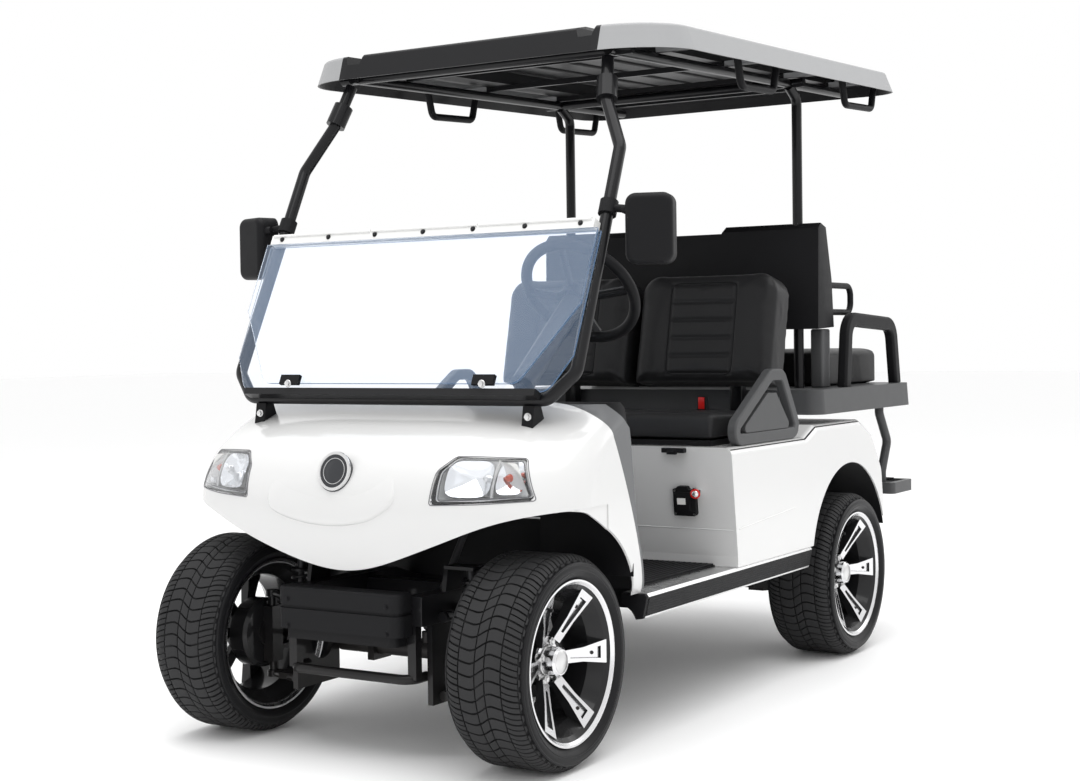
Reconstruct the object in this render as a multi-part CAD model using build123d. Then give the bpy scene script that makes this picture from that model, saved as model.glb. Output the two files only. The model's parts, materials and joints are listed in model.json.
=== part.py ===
from build123d import *
from math import atan2, cos, degrees, radians, sin, tan
import os

os.makedirs("parts", exist_ok=True)

# Four-seat electric golf cart. Millimetres, +Z up, the front faces -Y, +X is the driver's side.
# The origin is on the ground, midway between the front tyre's tread and the footrest's rear edge.

# Wheels and axles
wheelbase = 1690
front_axle_y = -1028
front_track = 898
rear_track = 986
tyre_diameter = 508
tyre_width = 215
rim_flange_diameter = 390
rim_width = 188
rim_wall = 8
bead_depth = 14
spoke_count = 6
pocket_depth = 7
hub_diameter = 118
cap_diameter = 70
drum_diameter = 180
drum_width = 52
drum_face = 14
axle_diameter = 62

# Steering and suspension
kingpin_offset = 84
knuckle_reach = 95
steer_arm_length = 110
steer_limit = 28
rod_diameter = 14
rack_diameter = 50
rack_bore = 40
rack_length = 430
rail_spacing = 380
rail_width = 50
rail_height = 70
shock_diameter = 34
spring_diameter = 52
leaf_width = 50
leaf_thickness = 8
leaf_count = 4

# Body
body_width = 1140
body_wall = 5
floor_top = 378
floor_thickness = 6
floor_front_y = -640
kick_top_y = -211
kick_foot_y = -174
body_rear_y = 960
body_top = 706
quarter_top = 738
arch_radius = 316
arch_front_radius = 358
sill_height = 62
sill_depth = 46
panel_gap = 0.8
liner_wall = 4
sill_top = 374
lamp_gap = 1.5
badge_diameter = 96
badge_height = 12

# Windshield and struts
strut_diameter = 32
strut_rear_y = 622
glass_thickness = 5
strip_height = 26
glass_half_width = 520
hinge_z = 1271
glass_foot_z = 875

# Mirrors
mirror_x = 622
mirror_y = -763
mirror_z = 1274
mirror_width = 118
mirror_turn = 18

# Roof
roof_width = 1190
roof_front_y = -650
roof_rear_y = 1105
roof_front_z = 1741
roof_slope = 2.5
roof_skin = 5
roof_height = 66
crown_height = 14
channel_x = 372
channel_width = 40
channel_depth = 26
front_corner = 200
rear_corner = 110

# Seats
seat_width = 1000
seat_front_y = -174
seat_rear_y = 262
seat_base_z = 712
seat_thickness = 88
backrest_lean = 12
backrest_width = 482
rear_seat_width = 920
rear_seat_front_y = 776
rear_seat_rear_y = 1240
rear_seat_thickness = 118

# Hinges
seat_hinge_y = 268
seat_hinge_z = 714
bench_hinge_y = 1261
hinge_x = 250
hinge_length = 30
pin_diameter = 5

# Fits
seat_gap = 0.3

rear_axle_y = front_axle_y + wheelbase
wheel_radius = tyre_diameter / 2
rail_x = rail_spacing / 2
rail_z = 370
rail_side = rail_x + rail_width / 2
rail_mid_z = floor_top - floor_thickness - rail_height / 2
rail_rear_z = 455
drum_back = drum_face + seat_gap + drum_width
cross_height = 48
body_half = body_width / 2
floor_half = body_half - 70.5
liner_x = rear_track / 2 - tyre_width / 2 - 23.5
arm_loop_x = seat_width / 2 + 45
rear_arm_x = rear_seat_width / 2 + 60


def both_sides(shape):
    """The shape and its mirror image across the cart's centre plane."""
    return [shape, mirror(shape, Plane.YZ)]


def tube(points, diameter, bends=None):
    """A round bar along straight runs joined by arcs."""
    if bends is None:
        path = Polyline(*points)
    else:
        path = FilletPolyline(*points, radius=bends)
    profile = Plane(path @ 0, z_dir=path % 0) * Circle(diameter / 2)
    return sweep(profile, path=path)


def bar(start, end, diameter):
    """A straight round bar."""
    start, end = Vector(*start), Vector(*end)
    plane = Plane(start, z_dir=end - start)
    return extrude(plane * Circle(diameter / 2), (end - start).length)


def side_prism(points, x_from, x_to):
    """A prism across the cart: the outline lies in Y and Z."""
    face = make_face(Polyline(*points, close=True))
    plane = Plane((x_from, 0, 0), x_dir=(0, 1, 0), z_dir=(1, 0, 0))
    return extrude(plane * face, x_to - x_from)


def block(x_range, y_range, z_range):
    """A rectangular block between the given limits."""
    sizes = [high - low for low, high in (x_range, y_range, z_range)]
    middle = [(low + high) / 2 for low, high in (x_range, y_range, z_range)]
    return Pos(*middle) * Box(*sizes)


# ---- Wheels: modelled at the origin with the outer face towards +X ----

def tyre():
    half = tyre_width / 2
    bead = rim_flange_diameter / 2 - bead_depth
    lip = rim_flange_diameter / 2 + 1
    shoulder = wheel_radius - 13
    right = [
        Line((bead, rim_width / 2 - 6.5), (lip, rim_width / 2 - 0.5)),
        ThreePointArc((lip, rim_width / 2 - 0.5), (lip + 22, half), (shoulder, half - 12)),
        ThreePointArc((shoulder, half - 12), (wheel_radius - 4, half - 22), (wheel_radius, half - 36)),
    ]
    left = [mirror(edge, Plane.XZ) for edge in right]
    crown = Line((wheel_radius, half - 36), (wheel_radius, 36 - half))
    bore = Line((bead, rim_width / 2 - 6.5), (bead, 6.5 - rim_width / 2))
    section = make_face(Curve() + right + left + [crown, bore])
    spin = Plane((0, 0, 0), x_dir=(0, 1, 0), z_dir=(0, 0, -1)) * section
    return revolve(spin, Axis.X)


def rim_barrel():
    half = rim_width / 2
    flange = rim_flange_diameter / 2
    seat = flange - bead_depth - seat_gap
    well = seat - 22
    outline = [
        (flange, half + 4), (flange - 5, half + 4), (seat - rim_wall, half - 12), (well - rim_wall, half - 46),
        (well - rim_wall, -half + 50), (seat - rim_wall, -half + 24), (flange - 5, -half - 4), (flange, -half - 4),
        (flange, -half), (seat, -half + 6), (seat, -half + 26), (well, -half + 52), (well, half - 48),
        (seat, half - 14), (seat, half - 6), (flange, half),
    ]
    face = make_face(Polyline(*[(y, x) for x, y in outline], close=True))
    return revolve(Plane.XY * face, Axis.X)


def rim_spoke(angle):
    """One split spoke: it rises from the hub to the outer lip."""
    half = rim_width / 2
    lip = rim_flange_diameter / 2 - 20
    root = hub_diameter / 2 - 8
    side = make_face(Polyline(
        (18, root), (36, root), (half - 8, lip), (half - 24, lip + 4), (half - 44, lip - 6), close=True))
    blade = extrude(Plane.XY * side, 34, both=True)
    taper = make_face(Polyline(
        (root - 4, 15), (lip * 0.62, 17), (lip + 8, 30), (lip + 8, -30), (lip * 0.62, -17), (root - 4, -15),
        close=True))
    front = Plane((0, 0, 0), x_dir=(0, 1, 0), z_dir=(1, 0, 0))
    spoke = blade & extrude(front * taper, half + 20)
    pocket_shape = make_face(Polyline(
        (root + 22, 5), (lip - 16, 15), (lip - 16, -15), (root + 22, -5), close=True))
    slope = degrees(atan2(half - 8 - 36, lip - root))
    cutter = extrude(front * pocket_shape, half + 20)
    floor = Pos(36 - pocket_depth, root, 0) * Rot(0, 0, -slope) * Box(
        80, 2 * lip, 80, align=(Align.MIN, Align.CENTER, Align.CENTER))
    return Rot(angle, 0, 0) * (spoke - (cutter & floor))


def rim():
    spokes = [rim_spoke(360 / spoke_count * number) for number in range(spoke_count)]
    hub = Rot(0, 90, 0) * Pos(0, 0, 6) * Cylinder(hub_diameter / 2, 40)
    cap = Rot(0, 90, 0) * Pos(0, 0, 44) * Cylinder(cap_diameter / 2, 42)
    cap = chamfer(cap.edges().sort_by(Axis.X)[-1], 5)
    return Solid() + [rim_barrel(), hub, cap] + spokes


def hub_drum():
    """Brake drum and stub that the rim is bolted to."""
    drum = Rot(0, 90, 0) * Pos(0, 0, -drum_face - seat_gap - drum_width / 2) * Cylinder(drum_diameter / 2, drum_width)
    return chamfer(drum.edges().sort_by(Axis.X)[0], 8)


wheels = [
    # name, x, y, turned round
    ("fl", front_track / 2, front_axle_y, False),
    ("fr", -front_track / 2, front_axle_y, True),
    ("rl", rear_track / 2, rear_axle_y, False),
    ("rr", -rear_track / 2, rear_axle_y, True),
]


def seat_wheel(shape, x, y, turned):
    placed = Pos(abs(x), y, wheel_radius) * shape
    return mirror(placed, Plane.YZ) if turned else placed


# ---- Chassis ----

tower_z = 458
shock_bridge_z = 515
shock_head_x = 262
loop_z = 205
deck_base_z = 766
deck_top_z = 843
deck_wall = 8
deck_half = 564
deck_ends = (436, 1274)
rear_seat_base_z = deck_top_z + seat_gap
bench_hinge_z = deck_top_z + 8.5
rail_line = [
    # y, z of the rail's centre line
    (-1168, rail_z), (-760, rail_z), (-660, rail_mid_z), (300, rail_mid_z), (420, rail_rear_z), (1092, rail_rear_z),
]
rail_front_y = rail_line[0][0]
rail_rear_y = rail_line[-1][0]
arm_y = 60
upper_arm_z = wheel_radius + knuckle_reach
lower_arm_z = wheel_radius - knuckle_reach
rack_y = front_axle_y + steer_arm_length - 6.5
rack_z = 230
kingpin_x = front_track / 2 - kingpin_offset
spring_x = 300
leaf_reach = 340
leaf_sag = 54
leaf_top = wheel_radius - axle_diameter / 2 - leaf_thickness / 2
leaf_eye_z = leaf_top + leaf_sag + leaf_thickness / 2 + seat_gap


def frame_rail(x, grow):
    line = trace(Polyline(*rail_line), rail_height + 2 * grow)
    outline = Plane((x - rail_width / 2 - grow, 0, 0), x_dir=(0, 1, 0), z_dir=(1, 0, 0)) * line
    return extrude(outline, rail_width + 2 * grow)


def ladder(grow=0):
    """Two rails and their cross tubes, each grown by a clearance."""
    mid_z = floor_top - floor_thickness - cross_height / 2
    cross_tubes = [
        # y, z, half width
        (rail_front_y + 22, rail_z, rail_x), (rack_y + 62, rail_z, rail_x), (-620, mid_z, floor_half),
        (-138, mid_z, floor_half), (250, mid_z, floor_half), (470, rail_rear_z, rail_x),
        (rail_rear_y - 22, rail_rear_z, 470),
    ]
    members = [frame_rail(rail_x, grow), frame_rail(-rail_x, grow)]
    for y, z, half in cross_tubes:
        deep, tall = 22 + grow, cross_height / 2 + grow
        members.append(block((-half - grow, half + grow), (y - deep, y + deep), (z - tall, z + tall)))
    return members


def chassis_frame():
    deck_under = deck_top_z - deck_wall - seat_gap
    stay = block((rail_x - 25, rail_x + 25), (1020, 1070), (rail_rear_z, deck_under))
    front_stay = block((rail_x - 25, rail_x + 25), (470, 520), (rail_rear_z, deck_under))
    bridge_y = (rear_axle_y - 58, rear_axle_y - 2)
    bridge = block((rail_side - 30, 270), bridge_y, (shock_bridge_z, shock_bridge_z + 8))
    bridge += block((rail_side - 30, rail_side), bridge_y, (480, shock_bridge_z))
    members = ladder()
    for side in (bridge, stay, front_stay, *spring_hangers()):
        members += both_sides(side)
    return Solid() + members


def front_subframe():
    """Suspension plates, shock towers, rack clamps and the bumper loop, seated on the ladder."""
    y = front_axle_y
    plate = block((rail_x + 10, rail_side), (y - arm_y - 40, y + arm_y + 8), (140, rail_z))
    plate -= Pos(rail_x + 14, y, wheel_radius - 10) * Rot(0, 90, 0) * Cylinder(42, 40)
    tower = side_prism(
        [(y - 48, rail_z), (y - 30, tower_z), (y + 30, tower_z), (y + 48, rail_z)], rail_side - 12, rail_side)
    cap = block((rail_side - 12, shock_head_x + 26), (y - 30, y + 30), (tower_z, tower_z + 8))
    clamp = side_prism(
        [(rack_y + 84, rail_z), (rack_y + 40, rail_z), (rack_y + 40, 310), (rack_y - 36, 268), (rack_y - 36, 194),
         (rack_y + 36, 194), (rack_y + 60, 270), (rack_y + 84, 300)], 88, 108)
    clamp -= Pos(98, rack_y, rack_z) * Rot(0, 90, 0) * Cylinder(rack_diameter / 2 + seat_gap, 40)
    hanger = block((rail_x - 20, rail_x + 4), (rail_front_y + 2, rail_front_y + 26), (loop_z, rail_z))
    loop = Solid() + [bumper_loop()] + both_sides(hanger)
    grown = ladder(seat_gap)
    pieces = both_sides(plate) + both_sides(tower + cap) + both_sides(clamp) + [loop]
    return [piece - grown for piece in pieces]


def front_bumper():
    half = 186
    top, bottom, front, rear = 415, 287, -1222, rail_front_y
    shell = block((-half, half), (front, rear), (bottom, top))
    shell = fillet(shell.edges().filter_by(Axis.Z).sort_by(Axis.Y)[:2], 26)
    shell = fillet(shell.faces().sort_by(Axis.Z)[-1].edges().sort_by(Axis.Y)[:-1], 8)
    belt = block((-half - 1, half + 1), (front - 1, rear), (362, 370))
    core = block((-half + 5, half - 5), (front + 5, rear + 1), (350, 380))
    core = fillet(core.edges().filter_by(Axis.Z).sort_by(Axis.Y)[:2], 22)
    shell -= belt - core
    chin = block((-half - 1, half + 1), (front - 1, rear + 1), (bottom - 1, 312))
    keep = block((-half + 18, half - 18), (front + 10, rear + 2), (bottom - 2, 314))
    keep = fillet(keep.edges().filter_by(Axis.Z).sort_by(Axis.Y)[:2], 20)
    return shell - (chin - keep)


def bumper_loop():
    """Tube loop under the bumper."""
    x, front, back = rail_x - 8, rail_front_y - 4, rail_front_y + 60
    return tube([(x, back, loop_z), (x, front, loop_z), (-x, front, loop_z), (-x, back, loop_z)], 24, 34)


def spring_hangers():
    """Brackets from the rear rail out to the ends of the left leaf spring."""
    plates = []
    for y in (rear_axle_y - leaf_reach, rear_axle_y + leaf_reach):
        plates.append(block((rail_side - 2, spring_x + 22), (y - 16, y + 16), (leaf_eye_z, rail_rear_z - 4)))
    return plates


# ---- Front body ----

cowl_shares = (0, 0.262, 0.503, 0.7, 0.89, 0.971, 1)
cowl_levels = [
    # z, how far the side stands in from the widest level, y at each share of the half width
    (sill_top + 0.5, 27, (-1150, -1148, -1137, -1105, -1040, -983, -900)),
    (570, 0, (-1227, -1226, -1215, -1187, -1128, -1061, -960)),
    (700, 2, (-1209, -1207, -1195, -1164, -1096, -1034, -940)),
    (800, 10, (-1062, -1061, -1050, -1022, -958, -893, -800)),
    (872, 22, (-885, -884, -881, -876, -861, -816, -740)),
]
cowl_rake_top = (-891, 858)
cowl_rake_foot = (-699, 383)
cowl_back_y = -600


def cowl_volume(inset, lower=0):
    """The nose as a solid, pulled in by the inset and dropped by the last value."""
    sections = []
    back_y = cowl_back_y + 4 * inset
    for z, tuck, line in cowl_levels:
        half = body_half + 2 - tuck - inset
        right = [(half * share, y + inset * (1 - 0.3 * share)) for share, y in zip(cowl_shares, line)]
        front = Spline(*[(-x, y) for x, y in reversed(right)], *right[1:])
        side_y = right[-1][1]
        back = Polyline((half, side_y), (half, back_y), (-half, back_y), (-half, side_y))
        section = make_face(front + back).face()
        if section.normal_at().Z < 0:
            section = -section
        sections.append(Pos(0, 0, z - lower) * section)
    left = loft(sections) & block((0, 700), (-1400, 0), (0, 1200))
    return left + mirror(left, Plane.YZ)


def raked_keep(offset=0):
    """Everything in front of the cowl's raked rear edge."""
    rise = (cowl_rake_top[1] - cowl_rake_foot[1]) / (cowl_rake_top[0] - cowl_rake_foot[0])

    def y_at(z):
        return cowl_rake_foot[0] + (z - cowl_rake_foot[1]) / rise + offset

    return side_prism([(-1400, 300), (y_at(300), 300), (y_at(950), 950), (-1400, 950)], -700, 700)


def wheel_cone():
    """Clearance for the front wheels: an arch that widens towards the side."""
    reach = 430
    cone = Cone(arch_front_radius - 126, arch_front_radius + 10, reach, align=(Align.CENTER, Align.CENTER, Align.MIN))
    return Pos(190, front_axle_y - 32, 242) * Rot(0, 90, 0) * cone


chin_line = [(0, 460), (110, 476), (215, 510), (300, 541), (410, 582), (485, 602), (545, 612), (620, 620)]


def chin_cut():
    """Everything below the line that dips under the nose and rises to the wheel arches."""
    left = [(-x, z) for x, z in reversed(chin_line[1:])]
    curve = Spline(*left, *chin_line)
    x, z = chin_line[-1]
    frame = Polyline((x, z), (x, 300), (-x, 300), (-x, z))
    face = Plane((0, -900, 0), x_dir=(1, 0, 0), z_dir=(0, -1, 0)) * make_face(curve + frame)
    return extrude(face, 500)


lamp_outline = [(277, 630), (508, 641), (470, 734), (318, 739), (284, 706)]


def lamp_prism(shrink, inside):
    face = make_face(Polyline(*lamp_outline, close=True))
    face = fillet(face.vertices(), 9)
    if shrink:
        face = offset(face, -shrink)
    return extrude(Plane((0, -1400, 0), x_dir=(1, 0, 0), z_dir=(0, -1, 0)) * face, -inside)


def front_cowl():
    shell = (cowl_volume(0) - cowl_volume(body_wall, body_wall)) & raked_keep()
    cone = wheel_cone()
    shell -= cone
    shell -= mirror(cone, Plane.YZ)
    shell -= chin_cut()
    lamp = lamp_prism(0, 420)
    shell -= lamp
    shell -= mirror(lamp, Plane.YZ)
    return shell


def headlamp_lens():
    skin = cowl_volume(0.5, 0.5) - cowl_volume(body_wall, body_wall)
    return skin & lamp_prism(lamp_gap, 420)


def headlamp_housing():
    body = cowl_volume(body_wall + seat_gap, body_wall + seat_gap) - cowl_volume(70, 4)
    return body & lamp_prism(-4, 420)


def badge():
    disc = Cylinder(badge_diameter / 2, badge_height)
    disc = chamfer(disc.edges().sort_by(Axis.Z)[-1], 3)
    disc += Pos(0, 0, -14) * Cylinder(badge_diameter / 2 - 8, 26)
    placed = Pos(0, -1214, 698) * Rot(76, 0, 0) * disc
    return (placed - cowl_volume(-seat_gap, -seat_gap)).solids().sort_by(Axis.Y)[0]


def cowl_trim():
    """Grey strip behind the cowl's raked edge, broad at the top."""
    lean = (cowl_rake_top[0] - cowl_rake_foot[0]) / (cowl_rake_top[1] - cowl_rake_foot[1])

    def edge(z, back):
        return (cowl_rake_foot[0] + lean * (z - cowl_rake_foot[1]) + panel_gap + back, z)

    outline = [edge(383, 0), edge(383, 14), edge(560, 14), edge(700, 60), edge(790, 95), edge(850, 60), edge(850, 0)]
    strip = side_prism(outline, 300, 700)
    strip &= cowl_volume(3, 3) - cowl_volume(34, 20)
    return both_sides(strip)


dash_outline = [
    (-905, 800), (-905, 868), (-850, 892), (-770, 884), (-716, 836), (-712, 760), (-742, 690), (-752, 560),
    (-770, 560), (-800, 640), (-820, 760),
]


def dashboard():
    body = side_prism(dash_outline, -540, 540) & cowl_volume(35, 21)
    for x in (-420, 330):
        body -= block((x, x + 120), (-800, -700), (700, 770))
    return body - column_clearance()


def floor_pan():
    line = Polyline((-758, 552), (floor_front_y, floor_top - 3), (kick_foot_y - 1, floor_top - 3))
    sheet = trace(line, floor_thickness)
    return extrude(Plane((-floor_half, 0, 0), x_dir=(0, 1, 0), z_dir=(1, 0, 0)) * sheet, 2 * floor_half)


def sill():
    top = sill_top
    length = (-700, 345)
    inner = floor_half + 0.5
    outline = [
        (inner, top), (body_half - 4, top), (body_half + 2, top - 8), (body_half - 10, top - sill_height),
        (body_half - 30, top - sill_height - 4), (body_half - 30, top - sill_height + 4),
        (body_half - 18, top - 16), (inner, top - 6),
    ]
    face = make_face(Polyline(*outline, close=True))
    return extrude(Plane((0, length[0], 0), x_dir=(1, 0, 0), z_dir=(0, -1, 0)) * face, -(length[1] - length[0]))


def rear_body_outline(inset):
    """Side view of the rear body, pulled in by the wall."""
    low = sill_top + 0.5 if inset == 0 else sill_top - 60
    return [
        (kick_foot_y + inset, low), (kick_foot_y + inset, 403), (kick_top_y + inset, body_top - inset),
        (315, body_top - inset), (395, quarter_top - inset), (760, quarter_top - inset),
        (870, 690 - inset * 0.8), (body_rear_y - 20 - inset, 600), (body_rear_y - inset, 460),
        (body_rear_y - inset, low),
    ]


def rear_arch(radius, x_from, x_to):
    cylinder = Cylinder(radius, x_to - x_from, align=(Align.CENTER, Align.CENTER, Align.MIN))
    return Pos(x_from, rear_axle_y + 5, 290) * Rot(0, 90, 0) * cylinder


def rear_body():
    half = body_half
    outer = side_prism(rear_body_outline(0), -half, half)
    top_edges = outer.edges().filter_by(lambda e: abs(abs(e.center().X) - half) < 1 and e.center().Z > 590)
    outer = fillet(top_edges, 22)
    inner = side_prism(rear_body_outline(body_wall), -half + body_wall, half - body_wall)
    shell = outer - inner
    for cut in (rear_arch(arch_radius, half - 30, half + 10),
                rear_arch(arch_radius + liner_wall + seat_gap, liner_x, half - body_wall)):
        shell -= cut
        shell -= mirror(cut, Plane.YZ)
    bay = block((-430, 430), (kick_top_y + 60, 240), (body_top - 40, body_top + 20))
    tail = block((-liner_x, liner_x), (body_rear_y - 40, body_rear_y + 40), (sill_top - 40, 610))
    stays = block((rail_x - 26, rail_x + 26), (468, 522), (quarter_top - 40, quarter_top + 40))
    shell = shell - bay - tail - stays - mirror(stays, Plane.YZ)
    ears = []
    for x in (hinge_x - 8, hinge_x + hinge_length + 1):
        ears += both_sides(hinge_ear(x, 7, seat_hinge_y, seat_hinge_z, body_top - 3, 5))
    return shell + ears


def hinge_ear(x, wide, y, z, foot_z, radius):
    """Upright ear with the bore that a hinge pin turns in."""
    ear = block((x, x + wide), (y - radius, y + radius), (foot_z, z))
    turn = Pos(x + wide / 2, y, z) * Rot(0, 90, 0)
    ear += turn * Cylinder(radius, wide)
    return ear - turn * Cylinder(pin_diameter / 2 + seat_gap, 2 * wide)


def hinge_knuckle(y, z, radius):
    """Barrel between two ears with the pin that runs through them."""
    middle = Pos(hinge_x + hinge_length / 2, y, z) * Rot(0, 90, 0)
    return middle * Cylinder(radius, hinge_length - 1) + middle * Cylinder(pin_diameter / 2, hinge_length + 14)


def wheel_liner():
    """Dark liner over the left rear wheel."""
    x_out = body_half - body_wall - seat_gap
    liner = rear_arch(arch_radius + liner_wall, liner_x, x_out) - rear_arch(arch_radius, liner_x + liner_wall, 700)
    keep = block((300, 600), (0, 1300), (sill_top + 8, 700))
    return liner & keep


def switch_plate():
    """Key switch box and knob on the kick panel."""
    rake = (kick_top_y - kick_foot_y) / (body_top - 403)
    x, z = body_half - 143, 557
    plane = Plane((x, kick_foot_y + rake * (z - 403) - seat_gap, z), x_dir=(1, 0, 0), z_dir=(0, -1, rake))
    box = plane * Box(84, 92, 22, align=(Align.CENTER, Align.CENTER, Align.MIN))
    box = fillet(box.faces().sort_by(Axis.Y)[0].edges(), 5)
    knob = plane * Pos(14, 12, 22) * Cylinder(15, 16, align=(Align.CENTER, Align.CENTER, Align.MIN))
    return [box + knob]


# ---- Windshield, struts and mirrors ----

strut_foot = (-985, 866)
strut_bend = (-696, 1486)
strut_side_x = 522
glass_lean = atan2(strut_bend[0] - strut_foot[0], strut_bend[1] - strut_foot[1])
glass_offset = strut_diameter / 2 + 6
pane_top_z = hinge_z - strip_height / 2 * cos(glass_lean)


def strut_y(z):
    return strut_foot[0] + tan(glass_lean) * (z - strut_foot[1])


def strut_point(z):
    """A point on the left strut's axis beside the windshield."""
    share = (strut_bend[1] - z) / (strut_bend[1] - 930)
    return (strut_side_x - 18 * (1 - share), strut_y(z), z)


def front_hoop():
    """One bent tube: up both sides of the windshield and across its foot."""
    half = [
        (414, -592, 1728), (437, -641, 1615), (strut_side_x - 18, strut_bend[0], strut_bend[1]),
        (strut_side_x, strut_y(930), 930), (strut_side_x - 62, strut_foot[0], strut_foot[1]),
    ]
    other = [(-x, y, z) for x, y, z in reversed(half)]
    hoop = tube(half + other, strut_diameter, 36)
    clamp = bar((425, -616, 1671), (437, -641, 1615), strut_diameter + 22)
    return Solid() + [hoop] + both_sides(clamp)


def glass_plane(z, out):
    """A plane parallel to the hoop, in front of its point at z: X runs across, Y up the slope."""
    away = glass_offset + out
    origin = (0, strut_y(z) - away * cos(glass_lean), z + away * sin(glass_lean))
    return Plane(origin, x_dir=(1, 0, 0), z_dir=(0, -cos(glass_lean), sin(glass_lean)))


def pane(top_z, foot_z, shoulder, foot_half, out):
    """A sheet whose sides narrow below the shoulder, with a rounded foot."""
    height = (top_z - foot_z) / cos(glass_lean)
    top = glass_half_width
    outline = Polyline(
        (-top, 0), (top, 0), (top, -shoulder), (foot_half, -height), (-foot_half, -height), (-top, -shoulder),
        close=True)
    face = make_face(outline)
    face = fillet(face.vertices().sort_by(Axis.Y)[:2], 40)
    return extrude(glass_plane(top_z, out) * face, glass_thickness)


def lower_pane():
    return pane(pane_top_z, glass_foot_z, 330, 470, 0)


def upper_pane():
    """The folded upper half hangs in front of the lower one."""
    return pane(pane_top_z, glass_foot_z + 12, 200, 392, glass_thickness + 12)


def windshield_strips():
    """Hinge strip along the top and a strip under the lower pane."""
    strips = []
    foot_z = glass_foot_z - (9 + seat_gap) * cos(glass_lean)
    back = strut_diameter / 2 + seat_gap - glass_offset
    for z, tall, half in ((hinge_z, strip_height - 2 * seat_gap, 508), (foot_z, 18, 448)):
        strips.append(glass_plane(z, back) * Box(
            2 * half, tall, 24 - back, align=(Align.CENTER, Align.CENTER, Align.MIN)))
    return strips


def windshield_clips():
    """Clips in front of the panes' foot, and feet between the hoop and the cowl."""
    clips = []
    front = 2 * glass_thickness + 12 + seat_gap
    for x in (-300, 300):
        clip = glass_plane(glass_foot_z + 18, front) * Pos(x, 0, 0) * Box(
            62, 26, 10, align=(Align.CENTER, Align.CENTER, Align.MIN))
        clips.append(clip)
    cowl = cowl_volume(-seat_gap, -seat_gap)
    bed = bar((-600, *strut_foot), (600, *strut_foot), strut_diameter + 2 * seat_gap)
    for side in (-1, 1):
        foot = side_prism([(-1012, 780), (-940, 780), (-970, 852), (-1000, 852)], side * 415 - 16, side * 415 + 16)
        clips.append((foot - cowl - bed).solids().sort_by(Axis.Z)[-1])
    return clips


def mirror_place(back):
    """The left mirror's middle, turned inwards, at a depth behind it."""
    return Pos(mirror_x, mirror_y, mirror_z) * Rot(0, 0, mirror_turn) * Pos(0, back, 0)


def mirror_housing():
    """Left mirror's open shell with its short arm to the strut."""
    shell = Box(mirror_width, 62, 172)
    shell = fillet(shell.edges().filter_by(Axis.Y), 26)
    shell = fillet(shell.faces().sort_by(Axis.Y)[0].edges(), 16)
    recess = Pos(0, 31, 0) * Box(mirror_width - 16, 12, 156)
    shell -= fillet(recess.edges().filter_by(Axis.Y), 20)
    shell = mirror_place(0) * shell
    arm = bar(strut_point(1330), (mirror_x - 44, mirror_y - 6, 1322), 20)
    collar = bar(strut_point(1312), strut_point(1346), strut_diameter + 14)
    grip = bar(strut_point(1200), strut_point(1460), strut_diameter + 2 * seat_gap)
    return shell + ((arm + collar) - grip)


def mirror_glass():
    glass = fillet(Box(mirror_width - 17, 3, 155).edges().filter_by(Axis.Y), 19.5)
    return mirror_place(28) * glass


def rear_strut():
    line = [(418, 560, 1795), (418, strut_rear_y, 1760), (418, strut_rear_y, deck_top_z)]
    return tube(line, strut_diameter, 36)


# ---- Roof ----

roof_length = (roof_rear_y - roof_front_y) / cos(radians(roof_slope))
roof_ceiling = roof_height - channel_depth - roof_skin
roof_rib_foot = 22
channel_flare = 10


def roof_on_slope(shape):
    """Tips a shape modelled level at the front edge up to the roof's slope."""
    return Pos(0, roof_front_y, roof_front_z) * Rot(roof_slope, 0, 0) * shape


def roof_plan(inset):
    """The roof's outline with its broad front corners."""
    plan = Pos(0, roof_length / 2) * Rectangle(roof_width - 2 * inset, roof_length - 2 * inset)
    plan = fillet(plan.vertices().sort_by(Axis.Y)[:2], front_corner - inset)
    return fillet(plan.vertices().sort_by(Axis.Y)[-2:], rear_corner - inset)


def roof_channel():
    """Rain channel beside the centre panel, open at both ends."""
    half, floor, brim = channel_width / 2, roof_height - channel_depth, roof_height + crown_height
    flare = half + channel_flare * (brim - floor) / channel_depth
    profile = make_face(Polyline(
        (channel_x - half, floor), (channel_x + half, floor), (channel_x + flare, brim),
        (channel_x - flare, brim), close=True))
    return extrude(Plane((0, -10, 0), x_dir=(1, 0, 0), z_dir=(0, -1, 0)) * profile, -roof_length - 20)


def roof():
    slab = extrude(roof_plan(0), roof_height, taper=20)
    slab = fillet(slab.faces().sort_by(Axis.Z)[-1].edges(), 12)
    middle = Pos(0, roof_length / 2)
    crown_half = channel_x - channel_width / 2 - channel_flare - 8
    crown_foot = Pos(0, 0, roof_height - 1) * middle * Rectangle(2 * crown_half, roof_length - 200)
    crown = extrude(crown_foot, crown_height + 1, taper=45)
    inner = extrude(roof_plan(roof_skin), roof_ceiling, taper=20)
    inner += extrude(Pos(0, 0, -1) * roof_plan(roof_skin), 1)
    centre = Rectangle(2 * crown_half - 2 * crown_height - 2 * roof_skin, roof_length - 200 - 2 * crown_height)
    inner += extrude(Pos(0, 0, -1) * middle * centre, roof_height + crown_height - roof_skin + 1)
    rail_from = channel_x + channel_width / 2 + channel_flare + roof_skin
    rail_bay = block(
        (rail_from, rail_from + 95), (front_corner + 30, roof_length - 150), (-1, roof_height - roof_skin))
    inner += both_sides(rail_bay)
    shell = slab + crown
    for channel in both_sides(roof_channel()):
        shell -= channel
    shell -= inner
    ribs = []
    for y in (330, 760, 1190, 1560):
        reach = roof_width / 2 - 30
        ribs.append(block((-reach, reach), (y - 8, y + 8), (roof_rib_foot, roof_ceiling + 3)))
    return roof_on_slope(shell + ribs)


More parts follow.
